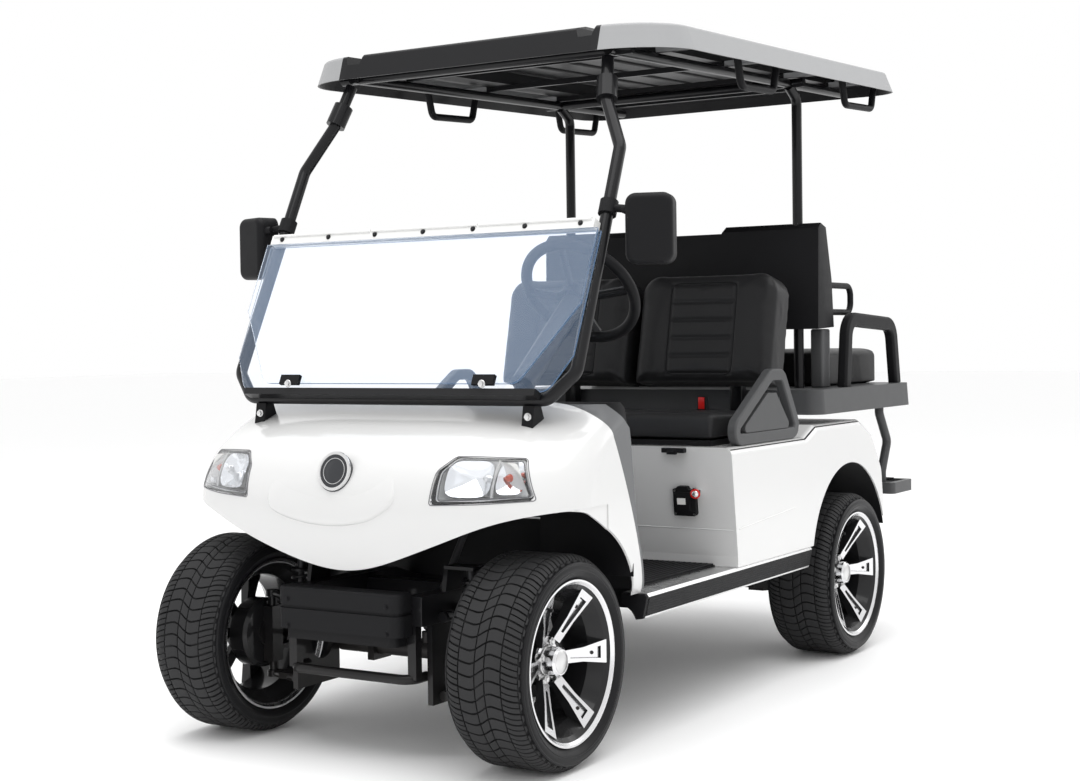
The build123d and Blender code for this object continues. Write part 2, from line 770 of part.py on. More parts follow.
def canopy_frame():
    """Welded frame: the front hoop, the tubes under the roof and the rear struts."""
    bar_z = roof_rib_foot - 14 - seat_gap
    front_z, rear_z = roof_line(-560, bar_z), roof_line(560, bar_z)
    side = bar((414, -590, roof_line(-590, bar_z)), (418, 1000, roof_line(1000, bar_z)), 28)
    front = bar((-470, -560, front_z), (470, -560, front_z), 28)
    rear = bar((-470, 560, rear_z), (470, 560, rear_z), 28)
    return Solid() + [front_hoop(), front, rear] + both_sides(side) + both_sides(rear_strut())


def roof_line(y, height):
    """The level of a point at the given height in the roof, measured from its lower rim."""
    return roof_front_z + height / cos(radians(roof_slope)) + (y - roof_front_y) * tan(radians(roof_slope))


def roof_handles():
    """Hand loops under the side rails."""
    handles = []
    top = roof_ceiling - seat_gap
    under = side_prism([(roof_front_y, 1500), (roof_front_y, roof_line(roof_front_y, top)),
                        (roof_rear_y, roof_line(roof_rear_y, top)), (roof_rear_y, 1500)], 400, 600)
    for x, y_from, y_to in ((530, 724, 1010), (530, -62, 212)):
        low_from, low_to = roof_line(y_from, -54), roof_line(y_to, -54)
        loop = tube([(x, y_from - 10, roof_line(y_from, roof_height)), (x, y_from + 26, low_from),
                     (x, y_to - 26, low_to), (x, y_to + 10, roof_line(y_to, roof_height))], 22, 24)
        handles += both_sides(loop & under)
    return handles


# ---- Front seat ----

def front_cushion():
    half = seat_width / 2
    outline = [(seat_front_y - 4, seat_base_z + 10), (seat_front_y + 6, seat_base_z + seat_thickness),
               (seat_rear_y, seat_base_z + seat_thickness - 16), (seat_rear_y, seat_base_z + 10)]
    pad = side_prism(outline, -half, half)
    return fillet(pad.edges().filter_by(lambda e: e.center().Z > seat_base_z + 30), 18)


def front_seat_pan():
    half = seat_width / 2 - 12
    pan_top = seat_base_z + 10 - seat_gap
    pan = block((-half, half), (seat_front_y + 6, seat_rear_y), (body_top + seat_gap, pan_top))
    leaf = block((hinge_x + 0.5, hinge_x + hinge_length - 0.5), (seat_rear_y - 4, seat_hinge_y),
                 (seat_hinge_z - 5, seat_hinge_z))
    knuckle = hinge_knuckle(seat_hinge_y, seat_hinge_z, 5)
    return Solid() + [pan] + both_sides(leaf + knuckle)


def backrest_plane(x, y, z):
    return Pos(x, y, z) * Rot(-backrest_lean, 0, 0)


def front_backrests():
    pads = []
    for side in (-1, 1):
        pad = Box(backrest_width, 118, 358, align=(Align.CENTER, Align.MIN, Align.MIN))
        pad = fillet(pad.edges().filter_by(Axis.Y).sort_by(Axis.Z)[-2:], 70)
        pad = fillet(pad.faces().sort_by(Axis.Y)[0].edges(), 26)
        pads.append(backrest_plane(side * (backrest_width / 2 + 6), 246, 866) * pad)
    return pads


def backrest_frame():
    """Steel back panel and legs between the seat box and the rear deck."""
    panel = Box(920, 12, 300, align=(Align.CENTER, Align.MIN, Align.MIN))
    panel = backrest_plane(0, 246, 866) * Pos(0, 118 + seat_gap, 20) * panel
    legs = []
    for x in (-300, 300):
        legs.append(side_prism([(398, quarter_top), (436, quarter_top), (436, 960), (400, 960)], x - 20, x + 20))
    return Solid() + [panel] + legs


def front_armrests():
    """Triangular loops beside the front seat."""
    x = arm_loop_x
    z = body_top + 17 + seat_gap
    points = [(x, -205, z), (x, 96, 898), (x, 175, 898), (x, 292, z)]
    path = FilletPolyline(*points, radius=(24, 40, 40, 24), close=True)
    profile = Plane(path @ 0, z_dir=path % 0) * RectangleRounded(34, 28, 6)
    return sweep(profile, path=path)


def armrest_pad():
    x = arm_loop_x
    pad = side_prism([(-128, 740.6), (60, 846), (120, 846), (226, 740.6)], x - 18, x + 14)
    return fillet(pad.edges().filter_by(Axis.X), 12)


# ---- Rear seat ----

def rear_back_shell():
    outline = [(585, 1030), (592, 1347), (612, 1365), (655, 1352), (700, 1188), (716, 1036)]
    shell = side_prism(outline, -500, 500)
    cavity = side_prism([(600, 1000), (604, 1328), (640, 1328), (676, 1185), (694, 1000)], -470, 470)
    dip = extrude(Plane((0, 500, 0), x_dir=(1, 0, 0), z_dir=(0, -1, 0)) * make_face(Polyline(
        (-165, 1343), (165, 1343), (185, 1400), (-185, 1400), close=True)), -300)
    sleeve = bar((418, strut_rear_y, 900), (418, strut_rear_y, 1500), strut_diameter + 2)
    return shell - cavity - dip - sleeve - mirror(sleeve, Plane.YZ)


def rear_back_cushion():
    outline = [(716.3, 1040), (700.4, 1190), (658, 1344), (706, 1345), (772, 1192), (790, 1040)]
    pad = side_prism(outline, -450, 450)
    return fillet(pad.edges().filter_by(Axis.X), 14)


def rear_post():
    return block((448, 488), (644, 714), (deck_top_z, 1030))


def rear_deck():
    """Moulded tray that carries the rear seat, its sides drawn in a little towards the top."""
    height = deck_top_z - deck_base_z
    middle_y = (deck_ends[0] + deck_ends[1]) / 2
    length = deck_ends[1] - deck_ends[0]
    outer = fillet(Rectangle(2 * deck_half, length).vertices(), 46)
    tray = extrude(Pos(0, middle_y, deck_base_z) * outer, height, taper=4)
    inner = fillet(Rectangle(2 * (deck_half - deck_wall), length - 2 * deck_wall).vertices(), 38)
    tray -= extrude(Pos(0, middle_y, deck_base_z) * inner, height - deck_wall, taper=4)
    ears = []
    for x in (hinge_x - 10, hinge_x + hinge_length + 1):
        ears += both_sides(hinge_ear(x, 9, bench_hinge_y, bench_hinge_z, deck_top_z - 3, 7))
    return Solid() + [tray] + ears


def rear_cushion():
    half = rear_seat_width / 2
    pad = block((-half, half), (rear_seat_front_y, rear_seat_rear_y),
                (rear_seat_base_z, rear_seat_base_z + rear_seat_thickness))
    return fillet(pad.edges().filter_by(lambda e: e.center().Z > rear_seat_base_z + 20), 22)


def bench_hinge():
    """Left leaf of the flip-over bench, screwed to the cushion's rear face."""
    across = (hinge_x + 0.5, hinge_x + hinge_length - 0.5)
    face_y = rear_seat_rear_y + seat_gap
    leaf = block(across, (face_y, bench_hinge_y), (bench_hinge_z - 3, bench_hinge_z))
    leaf += block(across, (face_y, face_y + 3), (bench_hinge_z - 3, bench_hinge_z + 32))
    return leaf + hinge_knuckle(bench_hinge_y, bench_hinge_z, 7)


def rear_armrest():
    x = rear_arm_x
    points = [(x, 748, deck_top_z), (x, 774, 1062), (x, 1180, 1044), (x, 1218, deck_top_z)]
    path = FilletPolyline(*points, radius=62)
    profile = Plane(path @ 0, z_dir=path % 0) * RectangleRounded(46, 34, 10)
    return sweep(profile, path=path) - block((400, 600), (600, 1400), (700, deck_top_z))


def rear_handle():
    x = rear_seat_width / 2 + 26
    grip = tube([(x, 690, 1170), (x, 896, 1170), (x, 896, 1084), (x, 690, 1084)], 20, 34)
    return grip - rear_back_shell()


def footrest():
    """Step tray hung from the deck on two bent tubes."""
    front, rear = rail_rear_y, rail_rear_y + 190
    tray = block((-560, 560), (front, rear), (468, 506))
    tray = fillet(tray.edges().filter_by(Axis.Z), 18)
    tray -= block((-540, 540), (front + 14, rear - 14), (498, 540))
    hangers = []
    deck_under = deck_top_z - deck_wall - seat_gap
    for x in (-492, 492):
        line = [(x, 1140, deck_under), (x, 1140, 740), (x, 1216, 640), (x, 1160, 540), (x, 1160, 490)]
        hangers.append(tube(line, 30, 24))
    return Solid() + [tray] + hangers


# ---- Controls ----

wheel_centre = (272, -503, 1134)
wheel_tilt = 39
column_diameter = 60
rim_radius = 170


def steering_frame():
    """Plane of the steering wheel's rim, its Z along the column towards the driver."""
    lean = radians(wheel_tilt)
    return Plane(wheel_centre, x_dir=(1, 0, 0), z_dir=(0, cos(lean), sin(lean)))


def steering_wheel():
    ring = Rot(0, 0, 45) * Torus(rim_radius - 15, 15)
    hub = Pos(0, 0, -34) * Cylinder(44, 30)
    spokes = []
    for angle in (0, 180, 270):
        spokes.append(Rot(0, 0, angle) * bar((30, 0, -30), (rim_radius - 15, 0, 0), 18))
    wheel = Solid() + [ring, hub] + spokes
    return steering_frame() * wheel


def steering_column():
    frame = steering_frame()
    return frame * Pos(0, 0, -49 - seat_gap) * Cylinder(
        column_diameter / 2, 330, align=(Align.CENTER, Align.CENTER, Align.MAX))


def column_point(distance):
    """A point on the column's axis, measured down from the steering wheel's rim plane."""
    lean = radians(wheel_tilt)
    x, y, z = wheel_centre
    return (x, y - distance * cos(lean), z - distance * sin(lean))


def column_shaft(diameter=18):
    """Lower shaft between its two universal joints."""
    joint_radius = 15
    top = column_point(379 + joint_radius + 2 * seat_gap)
    foot = (60, rack_y, rack_z + 45 + joint_radius + seat_gap)
    joints = [Pos(*end) * Sphere(joint_radius) for end in (top, foot)]
    return bar(top, foot, diameter) + joints


def column_clearance():
    """Room round the column and its shaft through the dashboard."""
    return bar(column_point(40), column_point(420), column_diameter + 2 * seat_gap) + column_shaft(34)


def pedals():
    parts = []
    dash = side_prism(dash_outline, -540, 540)
    for x, wide in ((180, 90), (340, 60)):
        plate = Pos(x, -668, 484) * Rot(34, 0, 0) * Box(wide, 10, 120)
        arm = bar((x, -690, 520), (x, -760, 640), 14)
        parts.append((plate + arm - dash).solids().sort_by(Axis.Z)[0])
    return parts


# ---- Front suspension ----

def knuckle():
    """Upright with kingpin bosses, stub axle and steering arm."""
    x, y = kingpin_x, front_axle_y
    body = block((x - 16, x + 16), (y - 20, y + 20), (wheel_radius - 72, wheel_radius + 72))
    pin = Pos(x, y, wheel_radius) * Cylinder(12, 2 * knuckle_reach)
    stub = bar((x + 10, y, wheel_radius), (front_track / 2 - drum_back - seat_gap, y, wheel_radius), 70)
    arm = block((x - 14, x + 14), (y, y + steer_arm_length), (rack_z - 20, rack_z - 8))
    arm += Pos(x, y + steer_arm_length, rack_z - 14) * Cylinder(16, 12)
    arm += Pos(x, y + steer_arm_length, rack_z - 4) * Cylinder(6, 12)
    return Solid() + [body, pin, stub, arm]


def tie_rod():
    x, y = kingpin_x, front_axle_y + steer_arm_length
    rod = bar((120, y, rack_z + 4), (x, y, rack_z + 4), rod_diameter)
    eye = Pos(x, y, rack_z + 4) * Cylinder(15, 18)
    eye -= Pos(x, y, rack_z - 10) * Cylinder(6 + seat_gap, 24, align=(Align.CENTER, Align.CENTER, Align.MIN))
    rod -= Pos(x, y, rack_z - 10) * Cylinder(6 + seat_gap, 24, align=(Align.CENTER, Align.CENTER, Align.MIN))
    return rod + eye


def steering_rack():
    """Open-ended rack tube with the pinion tower that the shaft meets."""
    level = Pos(0, rack_y, rack_z) * Rot(0, 90, 0)
    housing = level * Cylinder(rack_diameter / 2, rack_length) + Pos(60, rack_y, rack_z + 22) * Cylinder(18, 46)
    for side in (-1, 1):
        housing -= level * Pos(0, 0, side * (50 + rack_length / 2)) * Cylinder(rack_bore / 2, rack_length)
    return housing


def control_arms():
    arms = []
    for z, grip in ((upper_arm_z, 1), (lower_arm_z, -1)):
        ball_z, eye_x = z + grip * 10, rail_side + seat_gap + 13
        pieces = [Pos(kingpin_x, front_axle_y, ball_z) * Cylinder(17, 16)]
        for y in (front_axle_y - arm_y, front_axle_y + arm_y):
            pieces.append(bar((kingpin_x, front_axle_y, ball_z), (eye_x + 1, y, z + grip * 4), 18))
            pieces.append(Pos(eye_x, y, z) * Rot(90, 0, 0) * Cylinder(13, 30))
        if grip < 0:
            pieces.append(block((262, 308), (front_axle_y - 46, front_axle_y + 46), (z - 12, z + 4)))
        arm = Solid() + pieces
        arm -= Pos(kingpin_x, front_axle_y, z) * Cylinder(12 + seat_gap, 22)
        arms += both_sides(arm)
    return arms


def front_shock():
    foot = Vector(285, front_axle_y, lower_arm_z + 4 + seat_gap + 1)
    head = Vector(shock_head_x, front_axle_y, tower_z - seat_gap - 1)
    way = (head - foot).normalized()
    body = bar(tuple(foot), tuple(head), 22)
    can = bar(tuple(foot + way * 30), tuple(foot + way * 150), shock_diameter)
    coil = bar(tuple(foot + way * 80), tuple(head - way * 20), spring_diameter)
    return Solid() + [body, can, coil]


# ---- Rear suspension, drive and battery ----

def leaf_pack():
    leaves = []
    y = rear_axle_y
    side = Plane((spring_x - leaf_width / 2, 0, 0), x_dir=(0, 1, 0), z_dir=(1, 0, 0))
    for number in range(leaf_count):
        reach = leaf_reach - 70 * number
        z = leaf_top - number * leaf_thickness
        sag = leaf_sag * (reach / leaf_reach) ** 2
        arc = ThreePointArc((y - reach, z + sag), (y, z), (y + reach, z + sag))
        leaves.append(extrude(side * trace(arc, leaf_thickness), leaf_width))
    return Solid() + leaves


def rear_axle():
    tube_length = rear_track - 2 * (drum_back + seat_gap)
    shaft = Pos(0, rear_axle_y, wheel_radius) * Rot(0, 90, 0) * Cylinder(axle_diameter / 2, tube_length)
    case = Pos(-60, rear_axle_y, wheel_radius) * Rot(0, 90, 0) * Cylinder(92, 130)
    motor = Pos(60, rear_axle_y + 118, wheel_radius + 16) * Rot(0, 90, 0) * Cylinder(84, 250)
    return Solid() + [shaft, case, motor]


def rear_shocks():
    bars = []
    for side in (-1, 1):
        foot_z = wheel_radius + axle_diameter / 2 + seat_gap + 3
        bars.append(bar((side * 240, rear_axle_y, foot_z), (side * 240, rear_axle_y - 30, shock_bridge_z - 3), 40))
    return bars


def battery_pack():
    return block((-400, 400), (kick_top_y + 70, 225), (floor_top - floor_thickness + seat_gap, 620))


drum = hub_drum()
tyre_shape, rim_shape = tyre(), rim()
nodes = {
    "chassis_frame": [chassis_frame()],
    "front_subframe": front_subframe(),
    "front_bumper": [front_bumper()],
    "front_cowl": [front_cowl()],
    "headlamp_housings": both_sides(headlamp_housing()),
    "headlamp_lenses": both_sides(headlamp_lens()),
    "badge_disc": [badge()],
    "cowl_trim": cowl_trim(),
    "dashboard": [dashboard()],
    "floor_pan": [floor_pan()],
    "sills": both_sides(sill()),
    "rear_body": [rear_body()],
    "wheel_liners": both_sides(wheel_liner()),
    "switch_plate": switch_plate(),
    "canopy_frame": [canopy_frame()],
    "windshield_panes": [lower_pane(), upper_pane()],
    "windshield_strips": windshield_strips(),
    "windshield_clips": windshield_clips(),
    "mirror_housings": both_sides(mirror_housing()),
    "mirror_glasses": both_sides(mirror_glass()),
    "roof": [roof()],
    "roof_handles": roof_handles(),
    "front_cushion": [front_cushion()],
    "front_seat_pan": [front_seat_pan()],
    "front_backrests": front_backrests(),
    "backrest_frame": [backrest_frame()],
    "front_armrests": both_sides(front_armrests()),
    "armrest_pads": both_sides(armrest_pad()),
    "rear_back_shell": [rear_back_shell()],
    "rear_back_cushion": [rear_back_cushion()],
    "rear_posts": both_sides(rear_post()),
    "rear_deck": [rear_deck()],
    "rear_cushion": [rear_cushion()] + both_sides(bench_hinge()),
    "rear_grips": both_sides(rear_armrest()) + both_sides(rear_handle()),
    "footrest": [footrest()],
    "steering_wheel": [steering_wheel()],
    "steering_gear": [steering_column(), column_shaft(), steering_rack()],
    "pedals": pedals(),
    "control_arms": control_arms(),
    "shocks": both_sides(front_shock()) + rear_shocks(),
    "knuckle_l": [knuckle()],
    "knuckle_r": [mirror(knuckle(), Plane.YZ)],
    "tie_rod_l": [tie_rod()],
    "tie_rod_r": [mirror(tie_rod(), Plane.YZ)],
    "leaf_springs": both_sides(leaf_pack()),
    "rear_axle": [rear_axle()],
    "battery_pack": [battery_pack()],
}
for name, x, y, turned in wheels:
    nodes[f"wheel_{name}"] = [seat_wheel(shape, x, y, turned) for shape in (rim_shape, drum)]
    nodes[f"tyre_{name}"] = [seat_wheel(tyre_shape, x, y, turned)]

for name, solids in nodes.items():
    export_step(Compound(children=[solid for shape in solids for solid in shape.solids()]), f"parts/{name}.step")
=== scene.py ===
import bmesh
import bpy
import json
from math import atan2, cos, exp, pi, radians, sin, tan
from mathutils import Matrix, Vector
from mathutils.bvhtree import BVHTree

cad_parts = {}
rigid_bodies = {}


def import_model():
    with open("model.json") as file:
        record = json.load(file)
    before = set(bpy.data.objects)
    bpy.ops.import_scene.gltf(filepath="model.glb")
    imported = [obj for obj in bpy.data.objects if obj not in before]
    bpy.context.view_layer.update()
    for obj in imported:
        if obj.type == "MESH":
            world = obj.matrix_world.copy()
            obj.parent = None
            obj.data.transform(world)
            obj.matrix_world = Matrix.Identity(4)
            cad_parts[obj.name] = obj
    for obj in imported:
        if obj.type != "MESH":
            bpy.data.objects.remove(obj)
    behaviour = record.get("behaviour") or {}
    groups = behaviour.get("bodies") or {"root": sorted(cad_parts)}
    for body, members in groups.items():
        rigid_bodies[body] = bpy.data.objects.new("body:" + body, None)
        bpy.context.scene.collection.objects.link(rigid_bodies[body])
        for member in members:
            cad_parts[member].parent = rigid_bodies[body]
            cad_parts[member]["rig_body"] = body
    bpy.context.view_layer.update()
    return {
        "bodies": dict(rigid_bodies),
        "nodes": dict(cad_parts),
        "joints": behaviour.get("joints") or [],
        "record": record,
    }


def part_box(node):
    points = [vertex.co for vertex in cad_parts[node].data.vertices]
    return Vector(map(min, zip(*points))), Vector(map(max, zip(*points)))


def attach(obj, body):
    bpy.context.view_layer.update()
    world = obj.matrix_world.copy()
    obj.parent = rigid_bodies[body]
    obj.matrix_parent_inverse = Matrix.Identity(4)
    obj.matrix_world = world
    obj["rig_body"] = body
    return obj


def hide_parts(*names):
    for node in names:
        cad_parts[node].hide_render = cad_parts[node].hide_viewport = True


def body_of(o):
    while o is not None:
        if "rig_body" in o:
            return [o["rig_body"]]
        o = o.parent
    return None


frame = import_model()
nodes = frame["nodes"]
collection = bpy.context.scene.collection

# What every finish has unless its own entry says otherwise
plainLook = dict(dirtTop=0.0, metallic=0, coat=0, depth=0.05, shine=0.12)

# One entry for each material slot of the part
finishes = {
    "white_body": dict(colour=(0.64, 0.64, 0.637), dirt=(0.42, 0.4, 0.36), dirtTop=0.42, roughness=0.22,
                       coat=0.7, grain=260, depth=0.012, shine=0.5),
    "black_steel": dict(colour=(0.007, 0.007, 0.008), dirt=(0.1, 0.09, 0.08), dirtTop=0.35, roughness=0.34,
                        coat=0.25, grain=900),
    "black_plastic": dict(colour=(0.009, 0.009, 0.01), dirt=(0.12, 0.11, 0.1), dirtTop=0.32, roughness=0.5,
                          grain=1400, depth=0.1),
    "grey_plastic": dict(colour=(0.066, 0.067, 0.069), dirt=(0.16, 0.15, 0.13), dirtTop=0.3, roughness=0.42,
                         coat=0.1, grain=1100, depth=0.08),
    "black_vinyl": dict(colour=(0.019, 0.019, 0.02), dirt=(0.05, 0.05, 0.05), roughness=0.44, coat=0.1,
                        grain=700, depth=0.22),
    "lamp_bowl": dict(colour=(0.82, 0.83, 0.84), dirt=(0.5, 0.5, 0.5), roughness=0.12, metallic=1, grain=120,
                      depth=0.02),
    "bright_metal": dict(colour=(0.7, 0.7, 0.7), dirt=(0.3, 0.29, 0.27), dirtTop=0.36, roughness=0.28,
                         metallic=1, grain=500, depth=0.04),
    "mirror_face": dict(colour=(0.86, 0.88, 0.9), dirt=(0.6, 0.6, 0.6), roughness=0.03, metallic=1, grain=60,
                        depth=0.0),
    "tyre_rubber": dict(colour=(0.03, 0.03, 0.031), dirt=(0.07, 0.065, 0.06), dirtTop=0.12, roughness=0.62,
                        grain=900, depth=0.14),
    "dark_metal": dict(colour=(0.035, 0.035, 0.037), dirt=(0.12, 0.1, 0.08), dirtTop=0.42, roughness=0.42,
                       metallic=0.7, grain=600, depth=0.08),
    "badge_face": dict(colour=(0.03, 0.032, 0.036), dirt=(0.1, 0.1, 0.1), roughness=0.24, metallic=0.4,
                       coat=0.6, grain=500, depth=0.02),
    "battery_case": dict(colour=(0.05, 0.05, 0.055), dirt=(0.18, 0.16, 0.13), dirtTop=0.45, roughness=0.5,
                         grain=700, depth=0.08),
}

# Finishes that only this scene adds
extraFinishes = {
    # Carcass rubber: the sidewall's own darker, glossier rubber, made darker still so the groove floors show
    # painted shade
    "tyreWallAndGrooveShade": dict(colour=(0.01, 0.01, 0.011), dirt=(0.05, 0.045, 0.04), dirtTop=0.1, roughness=0.42,
                     coat=0.08, grain=900, depth=0.06),
    "redPlastic": dict(colour=(0.55, 0.012, 0.01), dirt=(0.3, 0.02, 0.02), roughness=0.32, coat=0.4, grain=400,
                       depth=0.02),
    "amberLens": dict(colour=(0.62, 0.1, 0.05), dirt=(0.4, 0.1, 0.05), roughness=0.16, coat=0.6, grain=300,
                      depth=0.02),
    "paleTrim": dict(colour=(0.72, 0.72, 0.71), dirt=(0.3, 0.3, 0.3), roughness=0.36, coat=0.2, grain=700),
    "seamShade": dict(colour=(0.16, 0.16, 0.17), dirt=(0.1, 0.1, 0.1), roughness=0.6, grain=500, depth=0.03),
    "trimGrey": dict(colour=(0.135, 0.138, 0.142), dirt=(0.2, 0.2, 0.2), dirtTop=0.35, roughness=0.38,
                     coat=0.15, grain=900),
    "blankLabel": dict(colour=(0.72, 0.72, 0.7), dirt=(0.5, 0.5, 0.5), roughness=0.5, grain=400, depth=0.02),
}

wheels = {"radius": 0.254, "front": (0.449, -1.028), "rear": (0.493, 0.662)}


# A shader group with its sockets
def startGroup(name, inputs, outputs):
    group = bpy.data.node_groups.new(name, "ShaderNodeTree")
    for label, kind, value in inputs:
        socket = group.interface.new_socket(label, in_out="INPUT", socket_type=kind)
        socket.default_value = value
    for label, kind in outputs:
        group.interface.new_socket(label, in_out="OUTPUT", socket_type=kind)
    return group, group.nodes.new("NodeGroupInput"), group.nodes.new("NodeGroupOutput")


def addMath(tree, kind, first, second=None, clamp=False):
    node = tree.nodes.new("ShaderNodeMath")
    node.operation = kind
    node.use_clamp = clamp
    for place, value in enumerate((first, second)):
        if value is None:
            continue
        if isinstance(value, (int, float)):
            node.inputs[place].default_value = value
        else:
            tree.links.new(value, node.inputs[place])
    return node.outputs[0]


def addMix(tree, factor, first, second):
    node = tree.nodes.new("ShaderNodeMix")
    node.data_type = "RGBA"
    sockets = (node.inputs["Factor"], node.inputs[6], node.inputs[7])
    for socket, value in zip(sockets, (factor, first, second)):
        if isinstance(value, (int, float, tuple)):
            socket.default_value = value
        else:
            tree.links.new(value, socket)
    return node.outputs[2]


# The x, y and z of an output, each as a socket
def splitOf(tree, socket):
    split = tree.nodes.new("ShaderNodeSeparateXYZ")
    tree.links.new(socket, split.inputs[0])
    return split.outputs


# Fine pebbled grain: a height and a soft mask
def makeGrainGroup():
    group, start, end = startGroup("grain", [
        ("Vector", "NodeSocketVector", (0, 0, 0)), ("Scale", "NodeSocketFloat", 500.0),
    ], [("Height", "NodeSocketFloat"), ("Mask", "NodeSocketFloat")])
    cells = group.nodes.new("ShaderNodeTexVoronoi")
    cells.feature = "F1"
    noise = group.nodes.new("ShaderNodeTexNoise")
    noise.inputs["Detail"].default_value = 3
    group.links.new(start.outputs["Vector"], cells.inputs["Vector"])
    group.links.new(start.outputs["Vector"], noise.inputs["Vector"])
    group.links.new(start.outputs["Scale"], cells.inputs["Scale"])
    group.links.new(addMath(group, "MULTIPLY", start.outputs["Scale"], 0.02), noise.inputs["Scale"])
    height = addMath(group, "ADD", cells.outputs["Distance"], addMath(group, "MULTIPLY", noise.outputs[0], 0.4))
    group.links.new(height, end.inputs["Height"])
    group.links.new(noise.outputs[0], end.inputs["Mask"])
    return group


# Dust that thickens towards the ground: the mixed colour and its mask
def makeDustGroup():
    group, start, end = startGroup("dust", [
        ("Vector", "NodeSocketVector", (0, 0, 0)), ("Clean", "NodeSocketColor", (1, 1, 1, 1)),
        ("Dirt", "NodeSocketColor", (0.3, 0.3, 0.3, 1)), ("Top", "NodeSocketFloat", 0.4),
    ], [("Colour", "NodeSocketColor"), ("Mask", "NodeSocketFloat")])
    noise = group.nodes.new("ShaderNodeTexNoise")
    noise.inputs["Scale"].default_value = 9
    noise.inputs["Detail"].default_value = 6
    group.links.new(start.outputs["Vector"], noise.inputs["Vector"])
    below = addMath(group, "SUBTRACT", start.outputs["Top"], splitOf(group, start.outputs["Vector"])["Z"])
    fade = addMath(group, "MULTIPLY", below, 2.2, True)
    patch = addMath(group, "MULTIPLY", fade, noise.outputs[0], True)
    mask = addMath(group, "MULTIPLY", patch, 0.55, True)
    group.links.new(addMix(group, mask, start.outputs["Clean"], start.outputs["Dirt"]), end.inputs["Colour"])
    group.links.new(mask, end.inputs["Mask"])
    return group


# Lathe marks round a wheel's axle: a height
def makeTurnedGroup():
    group, start, end = startGroup("turned", [
        ("Radius", "NodeSocketFloat", 0.1), ("Lines", "NodeSocketFloat", 900.0),
    ], [("Height", "NodeSocketFloat")])
    noise = group.nodes.new("ShaderNodeTexNoise")
    noise.noise_dimensions = "1D"
    noise.inputs["Scale"].default_value = 1
    around = addMath(group, "MULTIPLY", start.outputs["Radius"], start.outputs["Lines"])
    group.links.new(around, noise.inputs["W"])
    group.links.new(noise.outputs[0], end.inputs["Height"])
    return group


grainGroup = makeGrainGroup()
dustGroup = makeDustGroup()
turnedGroup = makeTurnedGroup()


def useGroup(tree, group):
    node = tree.nodes.new("ShaderNodeGroup")
    node.node_tree = group
    return node


def startMaterial(name):
    material = bpy.data.materials.new(name)
    material.use_nodes = True
    tree = material.node_tree
    return material, tree, tree.nodes["Principled BSDF"], tree.nodes.new("ShaderNodeTexCoord")


def addBump(tree, shader, height, depth, distance=0.001):
    bump = tree.nodes.new("ShaderNodeBump")
    bump.inputs["Strength"].default_value = depth
    bump.inputs["Distance"].default_value = distance
    tree.links.new(height, bump.inputs["Height"])
    tree.links.new(bump.outputs[0], shader.inputs["Normal"])


# Grain, dust and gloss that every finish shares
def finishBase(tree, shader, coordinates, look, clean=None):
    grain = useGroup(tree, grainGroup)
    tree.links.new(coordinates, grain.inputs["Vector"])
    grain.inputs["Scale"].default_value = look["grain"]
    dust = useGroup(tree, dustGroup)
    tree.links.new(coordinates, dust.inputs["Vector"])
    if clean is None:
        dust.inputs["Clean"].default_value = (*look["colour"], 1)
    else:
        tree.links.new(clean, dust.inputs["Clean"])
    dust.inputs["Dirt"].default_value = (*look["dirt"], 1)
    dust.inputs["Top"].default_value = look["dirtTop"]
    tree.links.new(dust.outputs["Colour"], shader.inputs["Base Color"])
    uneven = addMath(tree, "MULTIPLY", addMath(tree, "SUBTRACT", grain.outputs["Mask"], 0.5), 0.12)
    dusty = addMath(tree, "MULTIPLY", dust.outputs["Mask"], 0.5)
    gloss = addMath(tree, "ADD", addMath(tree, "ADD", uneven, dusty), look["roughness"], True)
    tree.links.new(gloss, shader.inputs["Roughness"])
    constants = (("Metallic", look["metallic"]), ("Coat Weight", look["coat"]), ("Coat Roughness", 0.06),
                 ("Specular IOR Level", look["shine"]))
    for label, value in constants:
        shader.inputs[label].default_value = value
    if look["depth"] > 0:
        addBump(tree, shader, grain.outputs["Height"], look["depth"])


def makeFinish(name, look):
    material, tree, shader, coordinates = startMaterial(name)
    finishBase(tree, shader, coordinates.outputs["Object"], look)
    return material


roofLook = {
    "railStart": 0.415,
    # The rail colour is partly the rails' own grey and partly a painted sky reflection; the colour for faces
    # turned down is painted shade
    "middle": (0.014, 0.014, 0.015, 1), "rail": (0.300, 0.303, 0.308, 1), "below": (0.012, 0.012, 0.013, 1),
}


# Dark middle; rails outside the channels pale grey, partly their own tone and partly a painted reflection of
# the sky; faces turned down near black as painted shade
def makeRoofFinish():
    look = plainLook | dict(dirt=(0.2, 0.2, 0.2), roughness=0.36, coat=0.03, grain=900, depth=0.06)
    material, tree, shader, coordinates = startMaterial("roofGrey")
    across = addMath(tree, "ABSOLUTE", splitOf(tree, coordinates.outputs["Object"])["X"])
    onRail = addMath(tree, "GREATER_THAN", across, roofLook["railStart"])
    # Faces turned down take the darker colour: painted shade under the roof
    above = addMath(tree, "GREATER_THAN", splitOf(tree, coordinates.outputs["Normal"])["Z"], -0.3)
    tone = addMix(tree, onRail, roofLook["middle"], roofLook["rail"])
    finishBase(tree, shader, coordinates.outputs["Object"], look, addMix(tree, above, roofLook["below"], tone))
    return material


rimLook = {
    "hubRadius": 0.051, "hubFace": 0.0268, "spokeSlope": 0.403, "flatness": 0.85,
    "lipRadius": 0.1835, "capRadius": 0.0355,
    "paint": (0.014, 0.014, 0.015, 1), "machined": (0.72, 0.72, 0.73, 1),
}


